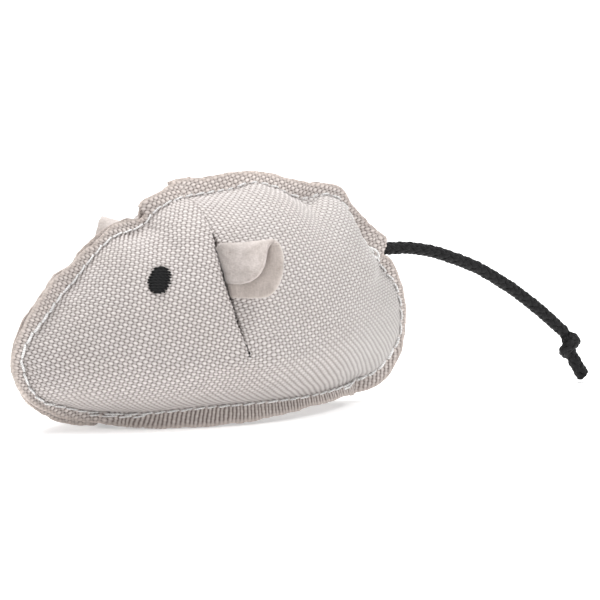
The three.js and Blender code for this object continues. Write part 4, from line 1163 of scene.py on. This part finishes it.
def view_point(px, py):
    """A point of the view's own plane, in millimetres, from a place in a 600 by 600 picture of it."""
    return AIM_MM + RIGHT * (px - 300) * PX + UP * (300 - py) * PX


def on_body(px, py, lift=0.0):
    """The point of the near panel that is seen there, and the panel's normal."""
    o = view_point(px, py) - FWD * 120
    loc, nor, _, _ = NEAR_TREE.ray_cast(Vector(o), Vector(FWD), 300)
    if loc is None:
        raise RuntimeError("nothing of the near panel at %.1f, %.1f" % (px, py))
    n = np.array(nor)
    if n @ FWD > 0:
        n = -n
    return np.array(loc) + n * lift, n


def on_plane(px, py, at, normal):
    o = view_point(px, py)
    return o + FWD * (((at - o) @ normal) / (FWD @ normal))


def spline(points, n):
    """n points at equal distances on a smooth line through the given ones."""
    return along(finer(np.array(points, float), 12), n=n)


# ------------------------------------------------------------------ ears: felt folded along its top, sewn into the dart
def ear_sheet():
    """The middle surface of the left ear: columns round the fold x points outwards x 3."""
    top, n_top = on_body(219.6, 244.9)
    low_b, n_low = on_body(234.6, 297.6)
    forward = unit(np.array([6.8, -14.5, 1.0]))
    normal = unit(np.cross(forward, low_b - top))
    if normal @ FWD > 0:
        normal = -normal  # towards the viewer
    back_px = [(277.5, 239.8), (281.2, 245), (283.2, 256), (283.0, 267), (281.0, 278.5), (275.5, 290), (267, 296.8), (256, 298.3), (244, 298.2), (231.4, 298.0)]
    front_px = [(277.5, 239.8), (271.5, 241.2), (268.2, 246.5), (266.6, 255), (264.2, 266), (259.0, 275), (250.5, 281.4), (240.0, 284.4), (227.6, 283.4)]
    NQ = 30
    back, front = spline(back_px, NQ + 1), spline(front_px, NQ + 1)
    r = np.concatenate([np.linspace(0.03, 0.94, 26), [0.965, 0.985, 1.0]])
    apex = np.array([216.9, 246.6])
    cols = []
    for layer, edge in ((-1, back[::-1]), (1, front[1:])):
        for i, e in enumerate(edge):
            q = 1 - i / NQ if layer < 0 else (i + 1) / NQ  # 0 on the fold, 1 on the dart
            line = []
            for rr in r:
                p = apex + (e - apex) * rr
                if layer > 0:  # the front layer's fold line is not quite straight
                    p = p + np.array([0, 1.2]) * math.sin(math.pi * rr) * (1 - q) ** 4
                P = on_plane(p[0], p[1], top, normal)
                if layer > 0:
                    part = 1.15 * float(smoothstep(q, 0.0, 0.14))
                    open_ = 2.1 * rr**1.3 * math.sin(math.pi * min(1, q * 1.02)) ** 0.8
                    P = P - FWD * (part + open_ * float(smoothstep(q, 0.0, 0.3)))
                else:
                    P = P + FWD * 0.9 * rr * math.sin(math.pi * q) ** 2
                line.append(P)
            cols.append(line)
    S = np.array(cols)
    # the fold is round
    for _ in range(6):
        m = S.copy()
        w = np.zeros(len(S))
        w[NQ - 4 : NQ + 6] = 0.5
        m[1:-1] = S[1:-1] + w[1:-1, None, None] * ((S[2:] + S[:-2]) / 2 - S[1:-1])
        S = m
    # both ends go on into the slit of the dart
    inward = FWD * 1.9 + RIGHT * 0.05
    S = np.concatenate([S[:1] + inward + FWD * 0.1, S, S[-1:] + inward - FWD * 0.1])
    return S, r


NQ_EAR = 30


def felt_solid(name, S, r, flip):
    """A closed felt piece round a middle surface, thinner at its free edge."""
    a, b = np.gradient(S, axis=0), np.gradient(S, axis=1)
    N = unit(np.cross(a, b))
    th = FELT / 2 * np.interp(r, [0, 0.10, 0.955, 0.985, 1.0], [0.75, 1.0, 1.0, 0.86, 0.60])
    root = np.minimum(np.arange(len(S)), np.arange(len(S))[::-1])
    th = th[None, :] * np.interp(root, [0, 1, 2, 4], [0.30, 0.45, 0.75, 1.0])[:, None]
    lump = noise2(61)
    fuzz = noise2(62)
    C, R = S.shape[:2]
    ci, ri = np.meshgrid(np.arange(C) * 1.0, np.arange(R) * 1.0, indexing="ij")
    bump_a = 0.10 * lump(ci / 5, ri / 4) + 0.035 * fuzz(ci * 0.9, ri * 0.9)
    bump_b = 0.10 * lump(ci / 5, ri / 4) - 0.035 * fuzz(ci * 0.9 + 40, ri * 0.9)
    A, B = S + N * (th + bump_a)[..., None], S - N * (th - bump_b)[..., None]
    ids = np.arange(C * R).reshape(C, R)
    n = C * R
    q = np.stack([ids[:-1, :-1], ids[1:, :-1], ids[1:, 1:], ids[:-1, 1:]], -1).reshape(-1, 4)
    loop = np.concatenate([ids[:, 0], ids[-1, 1:], ids[::-1, -1][1:], ids[0, ::-1][1:]])
    wall = np.stack([loop[1:], loop[:-1], loop[:-1] + n, loop[1:] + n], axis=1)
    faces = np.concatenate([q, q[:, ::-1] + n, wall])
    if flip:
        faces = faces[:, ::-1]
    # how far the front flap lies from the dart, for the painted shade that greys the flap near it
    along = unit(S[-2, -1] - S[-2, 0])
    off = np.linalg.norm(np.cross(S - S[-2, 0], along), axis=-1)
    tone = np.interp(off, [0.3, 1.0, 2.0, 3.0, 5.0, 7.5, 10.0], [0.50, 0.58, 0.70, 0.78, 0.78, 0.85, 0.96])
    painted_dart_shade = (1 - tone) / 0.7 * np.clip((ci - NQ_EAR) / 6, 0, 1)
    uv = np.tile(np.stack([painted_dart_shade, ri / R], -1).reshape(-1, 2), (2, 1))
    ob = make_mesh(name, np.concatenate([A.reshape(-1, 3), B.reshape(-1, 3)]), faces, FELT_M, uv=uv, uv_name="painted_dart_shade")
    # painted shade: the inside of the fold, which is out of the light, gets the darker copy of the felt
    ob.data.materials.append(FELT_PAINTED_SHADE)
    col = np.repeat(np.arange(C - 1), R - 1)
    inner = col < NQ_EAR - 1
    across = S[NQ_EAR + 2 : -2].mean((0, 1)) - S[2 : NQ_EAR - 2].mean((0, 1))
    first = (N[2 : NQ_EAR - 2] @ across).mean() > 0
    none = np.zeros(len(q), bool)
    rim = np.maximum(loop[1:], loop[:-1]) // R < NQ_EAR - 1
    which = np.concatenate([inner if first else none, none if first else inner, rim]).astype(np.int32)
    ob.data.polygons.foreach_set("material_index", which)
    return ob


def turned(P, at, axis, deg):
    """Points turned about an axis."""
    k, c, s = unit(np.array(axis, float)), math.cos(math.radians(deg)), math.sin(math.radians(deg))
    v = P - at
    return at + v * c + np.cross(k, v) * s + (v @ k)[..., None] * k * (1 - c)


EAR_S, EAR_R = ear_sheet()
left_ear = felt_solid("left_felt_ear", EAR_S, EAR_R, False)
_m = EAR_S * np.array([1, -1, 1])
_hinge, _axis = np.array([-7.3, 18.6, 35.0]), np.array([0, 0.485, -0.874])
_dist = np.linalg.norm(np.cross(_m - _hinge, unit(_axis)), axis=-1, keepdims=True)
_m2 = turned(_m, _hinge, _axis, -32.5)
_m2 = turned(_m2, _hinge, (1, 0, 0), -9.5)
_m = _m + (_m2 - _m) * smoothstep(_dist, 0.0, 3.0)
right_ear = felt_solid("right_felt_ear", _m, EAR_R, True)
for ob, body, node, y in ((left_ear, "left_ear", "left_ear", -1), (right_ear, "right_ear", "right_ear", 1)):
    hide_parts(node)

# ------------------------------------------------------------------ eyes: rows of black satin stitch
def eye_threads():
    """Centre lines of the near eye's stitches, as seen: rows across an oval, with uneven ends."""
    r = np.random.default_rng(77)
    rows, lines = 19, []
    for i in range(rows):
        t = (i + 0.5) / rows * 2 - 1
        half = 9.9 * math.sqrt(max(0.0, 1 - t * t * 0.985)) ** 0.86 + (1.1 if i % 2 else -0.9)
        cx, cy = 160.6 - 2.2 * t, 280.6 + 13.1 * t
        a, b = cx - half + r.uniform(-1.0, 0.5), cx + half + r.uniform(-0.5, 0.8)
        tilt = r.uniform(-0.6, 0.6)
        pts = []
        for u in np.linspace(0, 1, 11):
            x = a + (b - a) * u
            y = cy + tilt * (u - 0.5) + 0.9 * (u - 0.5)
            high = -0.05 + 0.42 * math.sin(math.pi * u) ** 0.35 + 0.06 * (i % 2)
            pts.append(on_body(x, y, high)[0])
        lines.append(np.array(pts))
    return lines


EYE_LINES = eye_threads()
for side, name, node in ((-1, "left_eye_stitch", "left_eye"), (1, "right_eye_stitch", "right_eye")):
    soup = Soup()
    for line in EYE_LINES:
        L = finer(line if side < 0 else line * np.array([1, -1, 1]), 2)
        n = np.tile(unit(np.array([-0.35, side * 0.85, 0.3])), (len(L), 1))
        soup.tube(L, 0.20, sides=8, wide=0.22, up=n)
    ob = soup.make(name, EYE_M)
    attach(ob, "mouse_body")
    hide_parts(node)

# ------------------------------------------------------------------ stitching
def seam_point(s, side, how, lift):
    """A point above the allowance at a distance s along the seam."""
    r = Rim(np.atleast_1d(s))
    c = allowance(r, side, np.full(len(r.s), how), SEAT + CLOTH)
    d = allowance(r, side, np.full(len(r.s), how + 0.4), SEAT + CLOTH) - c
    e = allowance(Rim(np.atleast_1d(s) + 0.4), side, np.full(len(r.s), how), SEAT + CLOTH) - c
    n = unit(np.cross(d, e))
    n = np.where(((n * np.array([0, side, 0])).sum(1) < 0)[:, None], -n, n)
    return c + n * np.asarray(lift)[..., None], n


def thick(s):
    """The thread looks fuller round the nose, and doubled at the lower rear where the seam was closed."""
    r = Rim(np.array([s % RIM_L]))
    x, z = float(r.x[0]), float(r.z[0])
    return 0.80 + 0.34 * float(1 - smoothstep(x, -42, -33)) + 0.07 * float(smoothstep(x, -14, -6)) + 0.36 * float(smoothstep(x, 35, 39) * (1 - smoothstep(z, 13, 18)))


def seam_stitches(soup, side, s0, s1, how, seed, sink=lambda s, w: 0.0, radius=0.28, length=2.85, gap=lambda s: 0.06):
    r = np.random.default_rng(seed)
    s = s0
    while s < s1 - 0.8:
        step = length * r.uniform(0.88, 1.14)
        a, b = s + gap(s), min(s + step - gap(s), s1)
        t = np.linspace(0, 1, 13)
        drift = r.uniform(-0.12, 0.12)
        lift = -0.30 + 0.58 * np.sin(np.pi * t) ** 0.36 - sink(s, r.uniform(0, 1))
        P, n = [], []
        for k, tt in enumerate(t):
            c, m = seam_point(a + (b - a) * tt, side, how + drift * (tt - 0.5) + 0.26 * (tt - 0.5), lift[k : k + 1])
            P.append(c[0])
            n.append(m[0])
        P, n = np.array(P), np.array(n)
        # two plies: a flat oval that turns as it goes
        tang = unit(np.gradient(P, axis=0))
        w = np.cross(tang, n)
        ph = (s + (b - a) * t) * 2 * np.pi / 1.5
        up = n * np.cos(ph)[:, None] + w * np.sin(ph)[:, None]
        soup.tube(P, radius * 0.86 * thick(s), sides=8, wide=radius * 1.12 * thick(s), up=up, v0=s)
        s += step


_dense = Rim(np.linspace(0, RIM_L, 4000))
_low = (_dense.z < 12) & (_dense.half > 0.3)
BELLY_S0, BELLY_S1 = _dense.s[_low][0], _dense.s[_low][-1]


def back_sink(s, w):
    """The thread is drawn deeper into the cloth over the back, some stitches more than others."""
    r = Rim(np.array([s % RIM_L]))
    x, z = float(r.x[0]), float(r.z[0])
    return (0.14 + 0.26 * w) * float(smoothstep(x, -14, -5) * (1 - smoothstep(x, 30, 35)) * (z > 30)) + 0.06 * w * (x > 35)


def back_gap(s):
    x = float(Rim(np.array([s % RIM_L])).x[0])
    return 0.15 + 0.11 * float(smoothstep(x, -18, -8))


def belly_sink(s, w):
    x = float(Rim(np.array([s])).x[0])
    return (0.14 + 0.14 * w) * float(smoothstep(x, -24, -14) * (1 - smoothstep(x, 26, 33)))


for side, tag in ((-1, "left"), (1, "right")):
    soup = Soup()
    seam_stitches(soup, side, BELLY_S1 + 0.2 - RIM_L, BELLY_S0 - 0.2, STITCH_IN, 5 + side, back_sink, gap=back_gap)
    ob = soup.make("back_stitches_" + tag, THREAD)
    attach(ob, "mouse_body")
    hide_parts("back_seam_thread_" + tag)
    soup = Soup()
    seam_stitches(soup, side, BELLY_S0, BELLY_S1, 0.6, 15 + side, belly_sink)
    ob = soup.make("belly_stitches_" + tag, THREAD)
    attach(ob, "mouse_body")
    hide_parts("belly_seam_thread_" + tag)

for name, node, xz in (("backtack_front", "belly_backtack_front", ((-21.0, 3.5), (-31.0, 3.6))), ("backtack_rear", "belly_backtack_rear", ((35.0, 4.6), (31.5, 4.6)))):
    soup = Soup()
    a, b = sorted((rim_at(*xz[0]), rim_at(*xz[1])))
    seam_stitches(soup, -1, a, b, 1.1, 91, radius=0.26, length=2.6)
    ob = soup.make(name, THREAD)
    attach(ob, "mouse_body")
    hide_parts(node)

# the loose loop of thread beside the tail
_loop = []
for px, py, lift in ((361.0, 236.5, 0.1), (364.5, 242.5, 0.35), (369.0, 247.0, 0.8), (373.5, 248.6, 1.1), (377.5, 251.5, 1.2), (379.0, 256.0, 0.9), (376.5, 258.0, 0.6), (372.5, 254.5, 0.6), (369.0, 250.0, 0.5), (366.6, 245.6, 0.25)):
    s = rim_at(*(on_plane(px, py, np.array([0.0, -2.6, 0.0]), np.array([0.0, 1.0, 0.0]))[[0, 2]]))
    q = on_plane(px, py, np.array([0.0, -3.1 - lift, 0.0]), np.array([0.0, 1.0, 0.0]))
    _loop.append(q)
soup = Soup()
soup.tube(spline(_loop, 70), 0.24, sides=8, wide=0.27)
ob = soup.make("tail_loose_thread", THREAD)
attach(ob, "mouse_body")
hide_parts("tail_tack_thread")

# ------------------------------------------------------------------ tail: an eight-strand braid with an overhand knot
TAIL_XZ = [
    (37.4, 33.4), (41.0, 33.75), (46.0, 33.85), (47.6, 33.8), (53.4, 33.45), (59.4, 32.2), (65.8, 30.0), (69.9, 28.35), (71.4, 27.7),
    (76.2, 24.95), (81.0, 22.0), (85.0, 19.15), (89.1, 16.0), (92.7, 13.0), (94.6, 11.3), (95.7, 8.7), (96.8, 5.85), (98.15, 3.5), (99.5, 1.55),
]
TAIL = along(finer(np.array([(x, 0.0, z) for x, z in TAIL_XZ]), 10), step=0.2)
TAIL_D = np.concatenate([[0], np.cumsum(np.linalg.norm(np.diff(TAIL, axis=0), axis=1))])


def at_x(x):
    return int(np.argmin(np.abs(TAIL[:, 0] - x)))


def braid(soup, path, scale, lay=16.0, r0=0.93, ripple=0.15, strand=(0.32, 0.50), s0=0.0, ends=True, seed=1, n_way=6):
    """Twelve strands, six each way, passing over and under; scale thins or swells the cord along it."""
    path = np.asarray(path, float)
    t = unit(np.gradient(path, axis=0))
    ref = np.array([0.0, 1.0, 0.0])
    if abs(t[0] @ ref) > 0.8:
        ref = np.array([1.0, 0.0, 0.0])
    b = []
    u = ref
    for k in range(len(path)):
        u = u - t[k] * (u @ t[k])
        u = u / np.linalg.norm(u)
        b.append(u)
    b = np.array(b)
    n = np.cross(b, t)
    d = np.concatenate([[0], np.cumsum(np.linalg.norm(np.diff(path, axis=0), axis=1))]) + s0
    sc = np.broadcast_to(np.asarray(scale, float), (len(path),))
    wob = value_noise(seed + 400)
    for way in (1, -1):
        for i in range(n_way):
            ph = way * 2 * np.pi * (d / lay + i / n_way) + 0.12 * wob(d / 2.3 + i * 17 + way * 5)
            r = (r0 + way * ripple * np.cos(2 * np.pi * n_way * d / lay) + 0.05 * wob(d / 1.3 + i * 31 + way * 11)) * sc
            out = n * np.cos(ph)[:, None] + b * np.sin(ph)[:, None]
            soup.tube(path + out * r[:, None], strand[0] * sc, sides=8, wide=strand[1] * sc, up=out, cap=ends, v0=s0 + i * 3.1)
    soup.tube(path, 0.72 * sc, sides=10, cap=ends)


I_SPLIT, I_KNOT, I_STUB = at_x(67.6), at_x(94.55), int(np.argmin(np.linalg.norm(TAIL - np.array([96.75, 0, 6.2]), axis=1)))
SCALE = np.interp(TAIL_D, [0, TAIL_D[I_KNOT] - 4.0, TAIL_D[I_KNOT] - 0.4, TAIL_D[I_KNOT] + 1.0, TAIL_D[I_STUB], TAIL_D[I_STUB] + 1.5, TAIL_D[-1] - 1.2, TAIL_D[-1]], [1.04, 1.06, 0.97, 0.90, 0.95, 1.10, 1.12, 1.14])
tail_pieces = {}
for name, a, b in (("tail_braid_base", 0, I_SPLIT), ("tail_braid_tip", I_SPLIT, I_KNOT + 4)):
    soup = Soup()
    braid(soup, TAIL[a : b + 1], SCALE[a : b + 1], s0=TAIL_D[a])
    tail_pieces[name] = soup.make(name, CORD_M)
# the knot: the cord's core, and the turn drawn tight round it from upper right to lower left as seen
soup = Soup()
braid(soup, TAIL[I_KNOT : I_STUB + 1], SCALE[I_KNOT : I_STUB + 1], s0=TAIL_D[I_KNOT])
_turn = [(572.0, 337.2, -1.0), (576.6, 339.4, -0.5), (578.0, 342.0, 0.5), (575.2, 345.0, 1.25), (571.2, 347.4, 1.3), (568.2, 350.4, 0.7), (568.6, 353.2, -0.5), (571.8, 353.8, -1.2), (574.6, 356.8, -0.6)]
_coil = along(finer(np.array([on_plane(x, y, np.zeros(3), np.array([0.0, 1.0, 0.0])) - FWD * d for x, y, d in _turn]), 12), step=0.16)
braid(soup, _coil, 0.98, lay=12.0, s0=3.0, seed=9)
tail_knot = soup.make("tail_knot_turns", CORD_M)
soup = Soup()
braid(soup, TAIL[I_STUB:], SCALE[I_STUB:], s0=TAIL_D[I_STUB])
# the fused end: a rough skin over the cut strands
_e, _te = TAIL[-1], unit(TAIL[-1] - TAIL[-4])
_u = unit(np.cross(_te, [0, 1, 0]))
_v = np.cross(_te, _u)
_rr = np.random.default_rng(12)
_ring = np.arange(20) / 20 * 2 * np.pi
_rows = []
for rad, dep in ((1.38, -0.8), (1.50, -0.35), (1.52, 0.0), (1.36, 0.22), (0.9, 0.26), (0.42, 0.2)):
    jit = _rr.uniform(-0.09, 0.09, (20, 1))
    _rows.append(_e + (_u * np.cos(_ring)[:, None] + _v * np.sin(_ring)[:, None]) * (rad + jit) + _te * (dep + _rr.uniform(-0.07, 0.07, (20, 1)) - 0.25 * np.cos(_ring)[:, None] * (rad / 1.4)))
_ids = soup.grid(np.array(_rows), np.stack(np.meshgrid(_ring / 6.28, np.arange(6) * 0.3), -1), close_u=True)
soup.fan(_ids[-1], _e + _te * 0.16, flip=False)
tail_stub = soup.make("tail_cut_end", CORD_M)

for ob, nodes in ((tail_pieces["tail_braid_base"], ("tail_root", "tail_cord_base")), (tail_pieces["tail_braid_tip"], ("tail_cord_tip",)), (tail_knot, ("tail_knot",)), (tail_stub, ("tail_end",))):
    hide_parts(*nodes)
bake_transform(tail_pieces["tail_braid_base"])
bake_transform(tail_pieces["tail_braid_tip"])
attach(tail_knot, "tail_tip")
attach(tail_stub, "tail_tip")

# the ears' transforms are baked into their meshes; the fold points and outward directions worked out here are not used
_top, _low = EAR_S[1:-1, 0].mean(0), None
_fold_l = np.array([-7.3, -18.6, 35.0])
_out_l = unit(EAR_S[30:34, -1].mean(0) - _fold_l)
_out_l = unit(_out_l - unit(np.array([0, 0.485, 0.874])) * (_out_l @ unit(np.array([0, 0.485, 0.874]))))
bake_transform(left_ear)
_fold_r = np.array([-7.3, 18.6, 35.0])
_out_r = unit(_m[30:34, -1].mean(0) - _fold_r)
_out_r = unit(_out_r - unit(np.array([0, 0.485, -0.874])) * (_out_r @ unit(np.array([0, 0.485, -0.874]))))
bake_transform(right_ear)


# ------------------------------------------------------------------ the belly panel, flat where the toy stands
BELLY_RISE = ((4.0, 8.0, 12.0, 18.0, 25.0, 31.0, 34.0), (0.0, 0.3, 0.75, 1.35, 1.9, 2.4, 2.7))  # how far the underside is off the floor, along x


def belly_mesh():
    X = np.linspace(-24.6, 34.0, 118)
    rows, uv = [], []
    for x in X:
        b = float(min(f_belly(np.array(x)), 0.9 * f_width(np.array(x))))
        zb = float(f_lower(np.array(x)))
        how = float(np.interp(rim_at(x, zb), RIM_D, _fine[:, 2])) * (1 - 0.75 * float(smoothstep(x, 26, 33)))
        yi = max(b - 0.75, 0.25)
        edge = max(zb - how + 0.1, 0.16)
        half = [(yi + BELLY_LEAN * how * 0.8, edge), (yi + BELLY_LEAN * how * 0.4, (edge + zb) / 2), (yi, zb - 0.35), (yi * 0.93, zb * 0.62), (yi * 0.82, zb * 0.26), (yi * 0.66, 0.10), (yi * 0.4, 0.03), (0.0, 0.02)]
        line = np.array(half + [(-y, z) for y, z in half[-2::-1]])
        line = along(finer(line, 4), n=57)
        line[:, 1] = np.maximum(line[:, 1], 0.02 + float(np.interp(x, *BELLY_RISE)))
        rows.append(np.stack([np.full(57, x), line[:, 0], line[:, 1]], 1))
        uv.append(np.stack([np.full(57, x / YARN_U), (np.arange(57) - 28) * (2 * (yi + how) / 56) / YARN_V], 1))
    P, T = np.array(rows), np.array(uv)
    N = grid_normals(P)
    if N[60, 28, 2] > 0:
        N = -N
    top = P - N * 0.55
    C, R = P.shape[:2]
    ids = np.arange(C * R).reshape(C, R)
    n = C * R
    q = np.stack([ids[:-1, :-1], ids[1:, :-1], ids[1:, 1:], ids[:-1, 1:]], -1).reshape(-1, 4)
    loop = np.concatenate([ids[:, 0], ids[-1, 1:], ids[::-1, -1][1:], ids[0, ::-1][1:]])
    wall = np.stack([loop[1:], loop[:-1], loop[:-1] + n, loop[1:] + n], axis=1)
    faces = np.concatenate([q, q[:, ::-1] + n, wall])
    ob = make_mesh("belly_cloth", np.concatenate([P.reshape(-1, 3), top.reshape(-1, 3)]), faces, CANVAS, uv=np.concatenate([T.reshape(-1, 2)] * 2))
    add_uv(ob, "wear", np.zeros((2 * n, 2)))
    add_uv(ob, "ribs", np.zeros((2 * n, 2)))
    bm = bmesh.new()
    bm.from_mesh(ob.data)
    bmesh.ops.recalc_face_normals(bm, faces=bm.faces)
    bm.to_mesh(ob.data)
    bm.free()
    return ob


belly = belly_mesh()
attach(belly, "mouse_body")
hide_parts("belly_panel")

# ------------------------------------------------------------------ inside: filling and herb, and what is caught in the dart
_herb = np.array([tuple(v.co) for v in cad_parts["catnip_charge"].data.vertices]) * 1000
HERB_MID, HERB_HALF = (_herb.min(0) + _herb.max(0)) / 2, (_herb.max(0) - _herb.min(0)) / 2


def swollen(node, name, material, move, amount, shift=(0, 0, 0), draw=1.0):
    """A softer copy of a hidden node, moved along its normals and made uneven. Its outside is drawn in towards the herb."""
    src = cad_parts[node].data
    bm = bmesh.new()
    bm.from_mesh(src)
    bmesh.ops.remove_doubles(bm, verts=bm.verts, dist=1e-6)
    bmesh.ops.recalc_face_normals(bm, faces=bm.faces)
    bm.normal_update()
    f = noise2(71)
    moved = []
    for v in bm.verts:
        p = np.array(v.co) * 1000
        d = move + amount * float(f(np.array(p[0] / 4 + p[1] / 7), np.array(p[2] / 4 - p[1] / 5)))
        outside = float(np.linalg.norm((p - HERB_MID) / HERB_HALF)) > 1.35
        q = HERB_MID + (p - HERB_MID) * (draw if outside else 1.0)
        moved.append(Vector(q * MM) + v.normal * d * MM + Vector(shift) * MM)
    for v, c in zip(bm.verts, moved):
        v.co = c
    me = bpy.data.meshes.new(name)
    bm.to_mesh(me)
    bm.free()
    me.polygons.foreach_set("use_smooth", np.ones(len(me.polygons), bool))
    me.materials.append(material)
    ob = bpy.data.objects.new(name, me)
    bpy.context.scene.collection.objects.link(ob)
    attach(ob, "mouse_body")
    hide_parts(node)
    return ob


swollen("fibre_filling", "filling", FIBRE_M, 0.0, 0.2, draw=0.88)
swollen("catnip_charge", "herb", HERB_M, -0.5, 0.4)
for node, mat in (("left_ear_root", FELT_M), ("right_ear_root", FELT_M), ("left_dart_thread", THREAD), ("right_dart_thread", THREAD)):
    swollen(node, node + "_inside", mat, -0.12 if "ear" in node else -0.03, 0.02, shift=(0.35, 2.6 if "left" in node else -2.6, 0) if "ear" in node else (0, 1.6 if "left" in node else -1.6, 0))

# ------------------------------------------------------------------ camera, light, floor
AIM = Vector((0.0191, -0.00815, 0.0254))
FORWARD = Vector((0.540, 0.831, -0.139)).normalized()
DIST = 4.0
cam_data = bpy.data.cameras.new("camera")
cam_data.sensor_width = 36.0
cam_data.lens = 18.0 / (0.066 / DIST)
cam_data.clip_start, cam_data.clip_end = 0.1, 60.0
cam = bpy.data.objects.new("camera", cam_data)
bpy.context.scene.collection.objects.link(cam)
cam.location = AIM - FORWARD * DIST
cam.rotation_mode = "QUATERNION"
cam.rotation_quaternion = FORWARD.to_track_quat("-Z", "Y")
bpy.context.scene.camera = cam

world = bpy.data.worlds.new("studio")
bpy.context.scene.world = world
world.use_nodes = True
world.node_tree.nodes["Background"].inputs[0].default_value = (1.0, 1.0, 1.0, 1)
world.node_tree.nodes["Background"].inputs[1].default_value = 0.50
bpy.context.scene.view_settings.view_transform = "Standard"


def area_light(name, at, aim, size, power, colour=(1, 1, 1)):
    d = bpy.data.lights.new(name, "AREA")
    d.shape, d.size, d.energy, d.color = "DISK", size, power, colour
    o = bpy.data.objects.new(name, d)
    bpy.context.scene.collection.objects.link(o)
    o.location = at
    o.rotation_mode = "QUATERNION"
    o.rotation_quaternion = (Vector(aim) - Vector(at)).to_track_quat("-Z", "Y")
    return o


area_light("key", (0.40, -0.78, 0.98), (0, 0, 0.02), 0.55, 6.15, (0.985, 0.992, 1.0))
area_light("top", (-0.08, 0.22, 1.2), (0, 0, 0), 0.8, 15.2)
area_light("fill", (-0.9, -0.6, 0.45), (0, 0, 0.03), 0.8, 0.5, (1.0, 0.985, 0.97))

floor_me = bpy.data.meshes.new("floor")
floor_me.from_pydata([(-12, -12, 0), (12, -12, 0), (12, 12, 0), (-12, 12, 0)], [], [(0, 1, 2, 3)])
floor = bpy.data.objects.new("floor", floor_me)
bpy.context.scene.collection.objects.link(floor)
fm, fnt, fb = new_material("floor", (0.92, 0.92, 0.92), 0.9, specular=0.0)
fb.inputs["Emission Color"].default_value = (1, 1, 1, 1)
fb.inputs["Emission Strength"].default_value = 0.42
floor_me.materials.append(fm)
floor.location = (0, 0, -0.0002)
